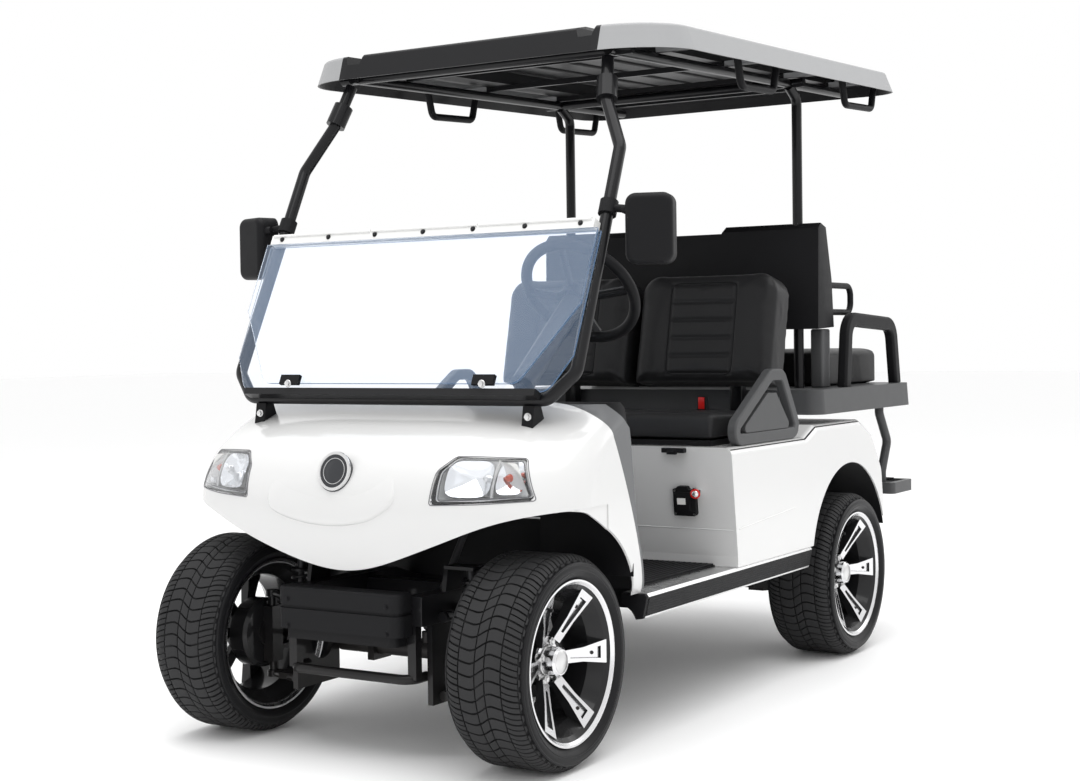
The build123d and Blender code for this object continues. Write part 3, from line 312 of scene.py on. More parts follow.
# Machined spoke faces, lip and cap over black painted pockets
def makeRimFinish(name, centre):
    look = plainLook | dict(dirt=(0.2, 0.19, 0.17), dirtTop=0.12, roughness=0.24, coat=0.3, grain=400,
                            depth=0.02)
    material, tree, shader, coordinates = startMaterial(name)
    place = splitOf(tree, coordinates.outputs["Object"])
    across = addMath(tree, "SUBTRACT", addMath(tree, "ABSOLUTE", place["X"]), centre[0])
    along = addMath(tree, "SUBTRACT", place["Y"], centre[1])
    rise = addMath(tree, "SUBTRACT", place["Z"], wheels["radius"])
    squares = [addMath(tree, "MULTIPLY", part, part) for part in (along, rise)]
    radius = addMath(tree, "SQRT", addMath(tree, "ADD", *squares))
    fromHub = addMath(tree, "SUBTRACT", radius, rimLook["hubRadius"])
    spokeFace = addMath(tree, "ADD", addMath(tree, "MULTIPLY", fromHub, rimLook["spokeSlope"]),
                        rimLook["hubFace"])
    proud = addMath(tree, "GREATER_THAN", across, spokeFace)
    normalX = addMath(tree, "ABSOLUTE", splitOf(tree, coordinates.outputs["Normal"])["X"])
    spokes = addMath(tree, "MULTIPLY", proud, addMath(tree, "GREATER_THAN", normalX, rimLook["flatness"]))
    lip = addMath(tree, "GREATER_THAN", radius, rimLook["lipRadius"])
    cap = addMath(tree, "LESS_THAN", radius, rimLook["capRadius"])
    face = addMath(tree, "MAXIMUM", spokes, addMath(tree, "MAXIMUM", lip, cap))
    clean = addMix(tree, face, rimLook["paint"], rimLook["machined"])
    finishBase(tree, shader, coordinates.outputs["Object"], look, clean)
    tree.links.new(face, shader.inputs["Metallic"])
    turned = useGroup(tree, turnedGroup)
    tree.links.new(radius, turned.inputs["Radius"])
    addBump(tree, shader, turned.outputs["Height"], 0.10, 0.0005)
    return material


# Clear glass; a facing gives its cut edges their own colour, and a faint blue emission is a painted reflection
# of the sky
def makeGlass(name, colour, edge, roughness, facing=None, paintedSkyGlow=(0, 0, 0)):
    material, tree, shader, coordinates = startMaterial(name)
    shader.inputs["Transmission Weight"].default_value = 1
    shader.inputs["IOR"].default_value = 1.45
    shader.inputs["Roughness"].default_value = roughness
    # The emission paints in the sky's reflection as a glow on the glass
    shader.inputs["Emission Color"].default_value = (*paintedSkyGlow, 1)
    shader.inputs["Emission Strength"].default_value = 1 if any(paintedSkyGlow) else 0
    if facing is None:
        shader.inputs["Base Color"].default_value = (*colour, 1)
        return material
    product = tree.nodes.new("ShaderNodeVectorMath")
    product.operation = "DOT_PRODUCT"
    product.inputs[1].default_value = facing
    tree.links.new(coordinates.outputs["Normal"], product.inputs[0])
    flat = addMath(tree, "GREATER_THAN", addMath(tree, "ABSOLUTE", product.outputs["Value"]), 0.8)
    tree.links.new(addMix(tree, flat, (*edge, 1), (*colour, 1)), shader.inputs["Base Color"])
    gloss = addMath(tree, "ADD", addMath(tree, "MULTIPLY", flat, -0.35), 0.35 + roughness)
    tree.links.new(gloss, shader.inputs["Roughness"])
    return material


# Pale hinge strip above, black strip below
def makeStripFinish():
    look = plainLook | extraFinishes["paleTrim"]
    splitHeight = 1.0
    material, tree, shader, coordinates = startMaterial("stripTrim")
    above = addMath(tree, "GREATER_THAN", splitOf(tree, coordinates.outputs["Object"])["Z"], splitHeight)
    clean = addMix(tree, above, (0.012, 0.012, 0.013, 1), (*look["colour"], 1))
    finishBase(tree, shader, coordinates.outputs["Object"], look, clean)
    return material


glassLean = atan2(289, 620)
glassNormal = Vector((0, -cos(glassLean), sin(glassLean)))
materials = {name: makeFinish(name, plainLook | look) for name, look in (finishes | extraFinishes).items()}
materials["grey_roof"] = makeRoofFinish()
# The windshield's faint blue emission is a painted reflection of the sky, not a tint of the glass
materials["clear_pane"] = makeGlass("clearPane", (0.982, 0.99, 1.0), (0.97, 0.98, 1.0), 0.01, glassNormal,
                                    (0.012, 0.024, 0.044))
materials["lamp_lens"] = makeGlass("lampLens", (0.97, 0.98, 1.0), None, 0.01)
rimFront, rimRear = makeRimFinish("rimFront", wheels["front"]), makeRimFinish("rimRear", wheels["rear"])
byNode = {
    "cowl_trim": materials["trimGrey"], "windshield_strips": makeStripFinish(),
    "wheel_fl": rimFront, "wheel_fr": rimFront, "wheel_rl": rimRear, "wheel_rr": rimRear,
}


# The part's own meshes, each slot in its finish
def paintNodes():
    for name, thing in nodes.items():
        for slot in thing.material_slots:
            given = slot.material.name.split(".")[0]
            slot.link = "OBJECT"
            slot.material = byNode.get(name) or materials[given]


paintNodes()
print("stage: finishes")


# A shape is a list of corners and a list of faces, in metres
def joinShapes(shapes):
    corners, faces = [], []
    for shapeCorners, shapeFaces in shapes:
        base = len(corners)
        corners += shapeCorners
        faces += [[number + base for number in face] for face in shapeFaces]
    return corners, faces


def moveShape(shape, matrix):
    return [matrix @ Vector(corner) for corner in shape[0]], shape[1]


def mirrorShape(shape):
    return [Vector((-corner[0], corner[1], corner[2]))
            for corner in shape[0]], [face[::-1] for face in shape[1]]


def bothSides(shape):
    return joinShapes([shape, mirrorShape(shape)])


# Local +Z along the direction
def aimMatrix(place, direction):
    return Matrix.Translation(place) @ Vector(direction).normalized().to_track_quat("Z",
                                                                                    "Y").to_matrix().to_4x4()


# Local axes given as three directions, at a place
def axesMatrix(place, x, y, z):
    return Matrix.Translation(place) @ Matrix((x, y, z)).transposed().to_4x4()


def hexagon(radius):
    return [(radius * cos(pi / 3 * n), radius * sin(pi / 3 * n)) for n in range(6)]


# Extra points between the outline's corners, no further apart than the gap
def finePoints(outline, gap):
    dense = []
    for number, here in enumerate(outline):
        after = outline[(number + 1) % len(outline)]
        parts = max(1, int((after - here).length / gap))
        dense += [here.lerp(after, k / parts) for k in range(parts)]
    return dense


# Turns (radius, height) points round local Z
def lathe(profile, matrix, steps=48, closed=False):
    corners, faces = [], []
    for number in range(steps):
        angle = 2 * pi * number / steps
        corners += [matrix @ Vector((radius * cos(angle), radius * sin(angle), height)) for radius,
                    height in profile]
    count = len(profile)
    spans = count if closed else count - 1
    for number in range(steps):
        here, there = number * count, (number + 1) % steps * count
        for place in range(spans):
            after = (place + 1) % count
            faces.append([here + place, there + place, there + after, here + after])
    return corners, faces


# Extrudes an outline along local Z, with rounded edges
def prism(outline, matrix, depth, bevel=0.0, segments=2):
    work = bmesh.new()
    low = [work.verts.new((x, y, 0)) for x, y in outline]
    high = [work.verts.new((x, y, depth)) for x, y in outline]
    work.faces.new(low[::-1])
    work.faces.new(high)
    for number in range(len(outline)):
        after = (number + 1) % len(outline)
        work.faces.new([low[number], low[after], high[after], high[number]])
    if bevel:
        bmesh.ops.bevel(work, geom=work.edges[:], offset=bevel, segments=segments, profile=0.6, affect="EDGES",
                        clamp_overlap=True)
    work.verts.index_update()
    shape = ([matrix @ vert.co for vert in work.verts],
             [[vert.index for vert in face.verts] for face in work.faces])
    work.free()
    return shape


# A block with rounded edges between two corners
def pad(low, high, bevel):
    sizes = [b - a for a, b in zip(low, high)]
    outline = [(0, 0), (sizes[0], 0), (sizes[0], sizes[1]), (0, sizes[1])]
    return prism(outline, Matrix.Translation(low), sizes[2], bevel)


# Sweeps a circle along the points
def tube(points, radius, sides=10, closed=False):
    points = [Vector(point) for point in points]
    count = len(points)
    corners, faces = [], []
    side = None
    for number, point in enumerate(points):
        before = points[(number - 1) % count] if closed or number else point
        after = points[(number + 1) % count] if closed or number < count - 1 else point
        ahead = (after - before).normalized()
        if side is None:
            side = ahead.orthogonal().normalized()
        side = (side - ahead * side.dot(ahead)).normalized()
        other = ahead.cross(side)
        for step in range(sides):
            angle = 2 * pi * step / sides
            corners.append(point + radius * (cos(angle) * side + sin(angle) * other))
    spans = count if closed else count - 1
    for number in range(spans):
        here, there = number * sides, (number + 1) % count * sides
        for step in range(sides):
            after = (step + 1) % sides
            faces.append([here + step, here + after, there + after, there + step])
    if not closed:
        faces.append(list(range(sides))[::-1])
        faces.append([(count - 1) * sides + step for step in range(sides)])
    return corners, faces


def addObject(name, data):
    thing = bpy.data.objects.new(name, data)
    collection.objects.link(thing)
    return thing


# One mesh from (shape, material) pairs, riding on a body
def makePiece(name, parts, body=None, sharp=38, replaced=()):
    mesh = bpy.data.meshes.new(name)
    corners, faces = joinShapes([shape for shape, material in parts])
    mesh.from_pydata([tuple(corner) for corner in corners], [], faces)
    wanted = []
    for shape, material in parts:
        if material not in wanted:
            wanted.append(material)
            mesh.materials.append(materials[material])
    indices = []
    for shape, material in parts:
        indices += [wanted.index(material)] * len(shape[1])
    mesh.polygons.foreach_set("material_index", indices)
    tidyNormals(mesh, sharp)
    thing = addObject(name, mesh)
    if body:
        settle(thing, body, replaced)
    return thing


# A piece of one finish from several shapes
def addTrim(name, shapes, finish, body="chassis"):
    makePiece(name, [(joinShapes(shapes), finish)], body)


# Outward normals, smooth but for the edges past the sharp angle
def tidyNormals(mesh, sharp):
    work = bmesh.new()
    work.from_mesh(mesh)
    bmesh.ops.recalc_face_normals(work, faces=work.faces[:])
    work.to_mesh(mesh)
    work.free()
    mesh.polygons.foreach_set("use_smooth", [True] * len(mesh.polygons))
    mesh.set_sharp_from_angle(angle=radians(sharp))
    mesh.update()


# Rides a body, and stands for the nodes that it replaces
def settle(thing, body, replaced=()):
    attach(thing, body)
    for node in replaced:
        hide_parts(node)


# A Geometry Nodes tree with its sockets
def startTree(name, inputs):
    tree = bpy.data.node_groups.new(name, "GeometryNodeTree")
    tree.interface.new_socket("Geometry", in_out="INPUT", socket_type="NodeSocketGeometry")
    for label, kind in inputs:
        tree.interface.new_socket(label, in_out="INPUT", socket_type=kind)
    tree.interface.new_socket("Geometry", in_out="OUTPUT", socket_type="NodeSocketGeometry")
    return tree, tree.nodes.new("NodeGroupInput"), tree.nodes.new("NodeGroupOutput")


# Copies of a piece: each one moved by Step and turned by Turn from the one before
def makeRepeatTree():
    tree, start, end = startTree("repeatPiece", (
        ("Piece", "NodeSocketObject"), ("Count", "NodeSocketInt"), ("Start", "NodeSocketVector"),
        ("Step", "NodeSocketVector"), ("Turn", "NodeSocketVector"), ("Finish", "NodeSocketMaterial"),
    ))
    index = tree.nodes.new("GeometryNodeInputIndex")

    def scaled(label):
        node = tree.nodes.new("ShaderNodeVectorMath")
        node.operation = "SCALE"
        tree.links.new(start.outputs[label], node.inputs[0])
        tree.links.new(index.outputs[0], node.inputs["Scale"])
        return node.outputs[0]

    placed = tree.nodes.new("ShaderNodeVectorMath")
    placed.operation = "ADD"
    tree.links.new(start.outputs["Start"], placed.inputs[0])
    tree.links.new(scaled("Step"), placed.inputs[1])
    points = tree.nodes.new("GeometryNodePoints")
    tree.links.new(start.outputs["Count"], points.inputs["Count"])
    tree.links.new(placed.outputs[0], points.inputs["Position"])
    finishCopies(tree, start, end, points.outputs[0], scaled("Turn"))
    return tree


# Instances the piece on the points and hands back one mesh
def finishCopies(tree, start, end, points, rotation):
    source = tree.nodes.new("GeometryNodeObjectInfo")
    source.transform_space = "ORIGINAL"
    tree.links.new(start.outputs["Piece"], source.inputs["Object"])
    copies = tree.nodes.new("GeometryNodeInstanceOnPoints")
    tree.links.new(points, copies.inputs["Points"])
    tree.links.new(source.outputs["Geometry"], copies.inputs["Instance"])
    tree.links.new(rotation, copies.inputs["Rotation"])
    real = tree.nodes.new("GeometryNodeRealizeInstances")
    tree.links.new(copies.outputs[0], real.inputs[0])
    painted = tree.nodes.new("GeometryNodeSetMaterial")
    tree.links.new(real.outputs[0], painted.inputs["Geometry"])
    tree.links.new(start.outputs["Finish"], painted.inputs["Material"])
    both = tree.nodes.new("GeometryNodeJoinGeometry")
    tree.links.new(start.outputs["Geometry"], both.inputs[0])
    tree.links.new(painted.outputs[0], both.inputs[0])
    tree.links.new(both.outputs[0], end.inputs[0])


# Copies of a piece on each point, its Z along the point's aim
def makeScatterTree():
    tree, start, end = startTree("scatterPiece",
                                 (("Piece", "NodeSocketObject"), ("Finish", "NodeSocketMaterial")))
    aim = tree.nodes.new("GeometryNodeInputNamedAttribute")
    aim.data_type = "FLOAT_VECTOR"
    aim.inputs["Name"].default_value = "aim"
    turned = tree.nodes.new("FunctionNodeAlignEulerToVector")
    turned.axis = "Z"
    tree.links.new(aim.outputs[0], turned.inputs["Vector"])
    finishCopies(tree, start, end, start.outputs["Geometry"], turned.outputs[0])
    return tree


repeatTree = makeRepeatTree()
scatterTree = makeScatterTree()


# Keeps the mesh that the modifiers make
def applyModifier(thing):
    graph = bpy.context.evaluated_depsgraph_get()
    mesh = bpy.data.meshes.new_from_object(thing.evaluated_get(graph))
    thing.modifiers.clear()
    thing.data = mesh


# Runs the node tree once and keeps the mesh that it makes
def applyTree(thing, tree, values, sharp):
    modifier = thing.modifiers.new("copies", "NODES")
    modifier.node_group = tree
    for item in tree.interface.items_tree:
        if item.in_out == "INPUT" and item.name in values:
            modifier[item.identifier] = values[item.name]
    thing.update_tag()
    bpy.context.view_layer.update()
    applyModifier(thing)
    tidyNormals(thing.data, sharp)
    bpy.data.objects.remove(values["Piece"])


# Copies of a shape in a row or a ring, joined to a base piece
def repeatShape(name, shape, material, count, start, step=(0, 0, 0), turn=(0, 0, 0), base=None, sharp=38):
    thing = base or makePiece(name, [])
    piece = makePiece(name + "One", [(shape, material)])
    applyTree(thing, repeatTree, {
        "Piece": piece, "Count": count, "Start": start, "Step": step, "Turn": turn,
        "Finish": materials[material],
    }, sharp)
    return thing


# Copies of a shape at (place, direction) pairs, on one body
def scatterShape(name, shape, material, places, body):
    mesh = bpy.data.meshes.new(name)
    mesh.from_pydata([place for place, direction in places], [], [])
    aim = mesh.attributes.new("aim", "FLOAT_VECTOR", "POINT")
    for number, (place, direction) in enumerate(places):
        aim.data[number].vector = direction
    thing = addObject(name, mesh)
    piece = makePiece(name + "One", [(shape, material)])
    applyTree(thing, scatterTree, {"Piece": piece, "Finish": materials[material]}, 30)
    dropLoose(thing.data)
    settle(thing, body)
    return thing


# The points that carried the copies go
def dropLoose(mesh):
    work = bmesh.new()
    work.from_mesh(mesh)
    bmesh.ops.delete(work, geom=[vert for vert in work.verts if not vert.link_faces], context="VERTS")
    work.to_mesh(mesh)
    work.free()


# Hexagon head over a washer, its foot at the origin
def hexBolt(width, height, washer):
    thickness = 0.002
    head = prism(hexagon(width / 2 / cos(pi / 6)), Matrix.Translation((0, 0, 0.0015)), height, height * 0.18)
    profile = [(0.0001, 0), (washer, 0), (washer, 0.0012), (washer - 0.0008, thickness), (0.0001, thickness)]
    return joinShapes([head, lathe(profile, Matrix.Identity(4), 24)])


def meshSurface(mesh):
    return BVHTree.FromPolygons([vert.co for vert in mesh.vertices],
                                [tuple(face.vertices) for face in mesh.polygons])


def surfaceOf(node):
    return meshSurface(nodes[node].data)


# Drops points on a surface along a direction, and lifts them off it
def layOn(tree, points, direction, lift=0.0):
    reach = 0.6
    along = Vector(direction).normalized()
    found = []
    for point in points:
        place, normal = tree.ray_cast(Vector(point) - along * reach, along)[:2]
        if place is not None:
            outward = normal if normal.dot(along) < 0 else -normal
            found.append(place + outward * lift)
    return found


# Curve through the points
def smoothLine(points, steps):
    points = [Vector(point) for point in points]
    last = len(points) - 1
    line = []
    for number in range(last):
        a, b, c, d = (points[max(0, min(last, number + k))] for k in (-1, 0, 1, 2))
        bend, twist = 2 * a - 5 * b + 4 * c - d, 3 * b - a - 3 * c + d
        for t in (step / steps for step in range(steps)):
            line.append(0.5 * (2 * b + (c - a) * t + bend * t * t + twist * t ** 3))
    return line + [points[-1]]


# Polygon with rounded corners, as 2D points
def roundedOutline(corners, radius, steps=6):
    outline = []
    count = len(corners)
    for number in range(count):
        here = Vector(corners[number])
        before, after = Vector(corners[number - 1]), Vector(corners[(number + 1) % count])
        start = here + (before - here).normalized() * radius
        end = here + (after - here).normalized() * radius
        for step in range(steps + 1):
            t = step / steps
            outline.append((1 - t) ** 2 * start + 2 * t * (1 - t) * here + t * t * end)
    return outline


tyreLook = {
    "pitches": 54, "groove": 0.0034, "treadDepth": 0.0065,
    "columns": (-0.0955, -0.057, -0.013, 0.013, 0.057, 0.0955),
    "wave": 0.0125, "waveHalf": 0.028, "waveRun": 0.0675,
    "flatHalf": 0.0715, "shoulder": 0.024, "shoulderDrop": 0.013,
    "lugNuts": 5, "spokeStuds": 6,
}


# Outer radius of the tread at a distance from the middle
def crownRadius(across):
    past = abs(across) - tyreLook["flatHalf"]
    if past <= 0:
        return wheels["radius"]
    return wheels["radius"] - tyreLook["shoulderDrop"] * min(1.0, past / tyreLook["shoulder"]) ** 1.7


# How far round the tyre a groove has run at a distance from the middle
def treadShift(across):
    wave, half = tyreLook["wave"], tyreLook["waveHalf"]
    reach = abs(across)
    if reach < half:
        return wave * sin(pi * across / (2 * half))
    sign = 1 if across > 0 else -1
    return sign * wave * (1 - 1.5 * ((reach - half) / tyreLook["waveRun"]) ** 1.3)


def carcassProfile():
    depth = tyreLook["treadDepth"]
    crown = [(crownRadius(x) - depth, x) for x in (-0.0955, -0.085, -0.0715, -0.035, 0, 0.035, 0.0715, 0.085,
                                                   0.0955)]
    wall = [(0.2355, 0.1005), (0.2355, 0.1035), (0.2320, 0.1055), (0.2300, 0.1050), (0.2275, 0.1060),
            (0.2200, 0.1073),
            (0.2170, 0.1064), (0.2150, 0.1073), (0.2100, 0.1060), (0.2060, 0.1020), (0.2035, 0.1010),
            (0.2015, 0.0985),
            (0.1960, 0.0935), (0.1812, 0.0876)]
    return [(r, -x) for r, x in reversed(wall)] + crown + wall


# One pitch of the tread: a waved block in each column, and a nib on each wall
def treadPitch():
    columns, gap, depth = (tyreLook[key] for key in ("columns", "groove", "treadDepth"))
    edgeDrop, edgeWidth, slices = 0.0009, 0.0008, 7
    span = 2 * pi * wheels["radius"] / tyreLook["pitches"]
    shapes = []
    for number in range(len(columns) - 1):
        first, last = columns[number] + gap / 2, columns[number + 1] - gap / 2
        outer = number in (0, len(columns) - 2)
        halves = ((0, span / 2 + gap / 4), (span / 2 - gap / 4, span)) if outer else ((0, span),)
        for low, high in halves:
            start, stop = low + gap / 2, high - gap / 2
            rows = ((start, 0), (start + edgeWidth, 1), (stop - edgeWidth, 1), (stop, 0))
            corners, faces = [], []
            for step in range(slices):
                x = first + (last - first) * step / (slices - 1)
                edge = edgeDrop if step in (0, slices - 1) else 0
                for along, top in rows:
                    radius = crownRadius(x) - (edge if top else depth + 0.001)
                    angle = (along + treadShift(x)) / wheels["radius"]
                    corners.append(Vector((x, radius * sin(angle), radius * cos(angle))))
            for step in range(slices - 1):
                for place in range(3):
                    a = step * 4 + place
                    faces.append([a, a + 1, a + 5, a + 4])
            faces.append([0, 1, 2, 3])
            faces.append([(slices - 1) * 4 + k for k in (3, 2, 1, 0)])
            shapes.append((corners, faces))
    nibFoot = ((0.2405, 0.01), (0.2405, 0.08), (0.2345, 0.08), (0.2345, 0.01))
    nibTop = ((0.2385, 0.02), (0.2385, 0.07), (0.2350, 0.07), (0.2350, 0.02))
    for side in (-1, 1):
        low = [Vector((side * 0.0962, r * sin(a), r * cos(a))) for r, a in nibFoot]
        high = [Vector((side * 0.0992, r * sin(a), r * cos(a))) for r, a in nibTop]
        shapes.append((low + high, [[4, 5, 6, 7], [0, 1, 5, 4], [1, 2, 6, 5], [2, 3, 7, 6], [3, 0, 4, 7]]))
    return joinShapes(shapes)


# Lug nuts, spoke studs, the cap's ring and dish, and the valve
def addWheelTrim(name, body, place, side):
    outward = Matrix.Rotation(side * pi / 2, 4, "Y")
    tip = lathe([(0.0001, 0.019), (0.006, 0.018), (0.008, 0.0135)], Matrix.Identity(4), 18)
    nut = joinShapes([hexBolt(0.019, 0.013, 0.0125), tip])
    nut = moveShape(nut, Matrix.Translation((side * 0.026, 0, 0.047)) @ outward)
    count = tyreLook["lugNuts"]
    nuts = repeatShape("lugNuts_" + name, nut, "bright_metal", count, place, turn=(2 * pi / count, 0, 0),
                       sharp=30)
    settle(nuts, body)
    lean = Matrix.Rotation(radians(-22 * side), 4, "Z")
    stud = moveShape(hexBolt(0.0065, 0.0022, 0.0046), Matrix.Translation((side * 0.0650, 0.140, 0)) @ lean
                     @ outward)
    count = tyreLook["spokeStuds"]
    studs = repeatShape("spokeStuds_" + name, stud, "dark_metal", count, place, turn=(2 * pi / count, 0, 0),
                        sharp=30)
    settle(studs, body)
    rear = aimMatrix(place + Vector((side * 0.0262, 0, 0)), (side, 0, 0))
    face = aimMatrix(place + Vector((side * 0.0650, 0, 0)), (side, 0, 0))
    ring = lathe([(0.0345, 0.0), (0.0372, 0.001), (0.0372, 0.004), (0.0345, 0.005)], rear, 40, True)
    dish = lathe([(0.0001, 0.0026), (0.014, 0.0026), (0.017, 0.0015), (0.026, 0.0012), (0.0272, 0.0002)], face,
                 40)
    valve = tube([(0.060, 0, 0.1585), (0.078, 0, 0.1560), (0.090, 0, 0.1545)], 0.004, 10)
    atWheel = Matrix.Translation(place) @ Matrix.Diagonal((side, 1, 1, 1)) @ Matrix.Rotation(radians(30), 4,
                                                                                             "X")
    parts = [(ring, "bright_metal"), (dish, "bright_metal"), (moveShape(valve, atWheel), "black_plastic")]
    makePiece("wheelTrim_" + name, parts, body)


# Treaded tyres over the plain ones, and each wheel's trim
def addTyres():
    across = Matrix.Rotation(pi / 2, 4, "Y")
    for end, hand, side in (("front", "left", 1), ("front", "right", -1), ("rear", "left", 1),
                            ("rear", "right", -1)):
        name, body = end[0] + hand[0], end + "_" + hand + "_wheel"
        place = Vector((side * wheels[end][0], wheels[end][1], wheels["radius"]))
        carcass = lathe(carcassProfile(), Matrix.Translation(place) @ across, 128)
        # The carcass takes the dark wall colour, which paints shade into the groove floors between the tread
        # blocks
        base = makePiece("treadedTyre_" + name, [(carcass, "tyreWallAndGrooveShade")])
        pitch = treadPitch() if side > 0 else mirrorShape(treadPitch())
        repeatShape("treadedTyre_" + name, pitch, "tyre_rubber", tyreLook["pitches"], place,
                    turn=(2 * pi / tyreLook["pitches"], 0, 0), base=base, sharp=32)
        settle(base, body, ["tyre_" + name])
        addWheelTrim(name, body, place, side)


addTyres()
print("stage: tyres")


# Each panel's distance from the middle and half width
cushionLook = {
    "voxel": 0.009, "give": 0.0045, "frames": 20,
    "cover": {"quality": 4, "mass": 0.25, "tension_stiffness": 18, "compression_stiffness": 18,
              "bending_stiffness": 0.6, "use_pressure": True, "uniform_pressure_force": 4},
    "channelDepth": 0.0042, "channelWidth": 0.0048, "channelStep": 0.056,
    "seatStep": 0.052, "rearStep": 0.048, "frontLean": 12,
    "frontPanel": (0.240, 0.108), "seatPanel": (0.247, 0.160), "rearPanel": (0.225, 0.150),
    "backPanel": (0.22, 0.145),
}


# The node's separate solids, each as corners and faces
def islandsOf(node):
    work = bmesh.new()
    work.from_mesh(nodes[node].data)
    bmesh.ops.remove_doubles(work, verts=work.verts[:], dist=0.00002)
    seen, islands = set(), []
    for first in work.verts:
        if first in seen:
            continue
        group, waiting = [], [first]
        seen.add(first)
        while waiting:
            vert = waiting.pop()
            group.append(vert)
            for edge in vert.link_edges:
                other = edge.other_vert(vert)
                if other not in seen:
                    seen.add(other)
                    waiting.append(other)
        number = {vert: place for place, vert in enumerate(group)}
        faces = {face for vert in group for face in vert.link_faces}
        ordered = sorted(faces, key=lambda face: face.index)
        islands.append(([vert.co.copy() for vert in group],
                        [[number[vert] for vert in face.verts] for face in ordered]))
    work.free()
    return sorted(islands, key=lambda shape: -spanOf(shape))


# Volume of the shape's box
def spanOf(shape):
    sizes = [max(c[k] for c in shape[0]) - min(c[k] for c in shape[0]) for k in range(3)]
    return sizes[0] * sizes[1] * sizes[2]


# Blows the cover up from a slightly smaller shape, as foam fills it
def inflate(thing):
    give, frames = cushionLook["give"], cushionLook["frames"]
    mesh = thing.data
    for vert, normal in [(vert, vert.normal.copy()) for vert in mesh.vertices]:
        vert.co -= normal * give
    rest = [vert.co.copy() for vert in mesh.vertices]
    cloth = thing.modifiers.new("cover", "CLOTH")
    for setting, value in cushionLook["cover"].items():
        setattr(cloth.settings, setting, value)
    cloth.settings.effector_weights.gravity = 0
    cloth.point_cache.frame_start = 1
    cloth.point_cache.frame_end = frames
    for number in range(1, frames + 1):
        bpy.context.scene.frame_set(number)
    graph = bpy.context.evaluated_depsgraph_get()
    blown = [vert.co.copy() for vert in thing.evaluated_get(graph).data.vertices]
    thing.modifiers.clear()
    bpy.context.scene.frame_set(1)
    limit = give + 0.003
    for vert, start, end in zip(mesh.vertices, rest, blown):
        move = end - start
        if move.length > limit:
            move *= limit / move.length
        vert.co = start + move


# How deep the channels are at a place on the panel
def channelDepth(u, v, centres, halfWidth, lines):
    rim = 0.004
    low, high = lines[0], lines[-1]
    deepest = 0.0
    for centre in centres:
        side = abs(u - centre)
        border = abs(side - halfWidth) if low - rim < v < high + rim else 1
        ends = min(abs(v - low), abs(v - high)) if side < halfWidth + rim else 1
        nearest = min(border, ends)
        if side < halfWidth and low < v < high:
            nearest = min(nearest, min(abs(v - line) for line in lines))
        share = exp(-(nearest / cushionLook["channelWidth"]) ** 2)
        deepest = max(deepest, cushionLook["channelDepth"] * share)
    return deepest


# Foam cushion with stitched channels across it. The panel looks along face,
# and its lines run across it at distances along runs.
def makeCushion(name, shape, node, body, face, runs, centres, halfWidth, lines):
    thing = makePiece(name, [(shape, "black_vinyl")])
    remesh = thing.modifiers.new("even", "REMESH")
    remesh.mode = "VOXEL"
    remesh.voxel_size = cushionLook["voxel"]
    applyModifier(thing)
    soften = thing.modifiers.new("soften", "SMOOTH")
    soften.factor = 0.5
    soften.iterations = 4
    applyModifier(thing)
    inflate(thing)
    refine = thing.modifiers.new("refine", "SUBSURF")
    refine.levels = 1
    refine.render_levels = refine.levels
    applyModifier(thing)
    mesh = thing.data
    mesh.materials.clear()
    mesh.materials.append(materials["black_vinyl"])
    front, wide, long = (Vector(axis).normalized() for axis in (face, (1, 0, 0), runs))
    moves = []
    for vert in mesh.vertices:
        depth = 0.0
        if vert.normal.dot(front) > 0.6:
            depth = channelDepth(vert.co.dot(wide), vert.co.dot(long), centres, halfWidth, lines)
        moves.append(vert.normal * depth)
    for vert, move in zip(mesh.vertices, moves):
        vert.co -= move
    mesh.polygons.foreach_set("use_smooth", [True] * len(mesh.polygons))
    mesh.update()
    settle(thing, body, [node])
    addPiping(name, mesh, body, (front, wide, long), centres, halfWidth, lines)


# Thin welt round each stitched panel
def addPiping(name, mesh, body, axes, centres, halfWidth, lines):
    front, wide, long = axes
    outside = 0.004
    low, high = lines[0] - outside, lines[-1] + outside
    surface = meshSurface(mesh)
    middle = sum(vert.co.dot(front) for vert in mesh.vertices) / len(mesh.vertices)
    welts = []
    for centre in centres:
        left, right = centre - (halfWidth + outside), centre + (halfWidth + outside)
        outline = roundedOutline([(left, low), (right, low), (right, high), (left, high)], 0.03, 6)
        points = [wide * u + long * v + front * middle for u, v in finePoints(outline, 0.02)]
        welts.append(tube(layOn(surface, points, -front, 0.0003), 0.0019, 8, True))
    addTrim(name + "Piping", welts, "black_plastic", body)


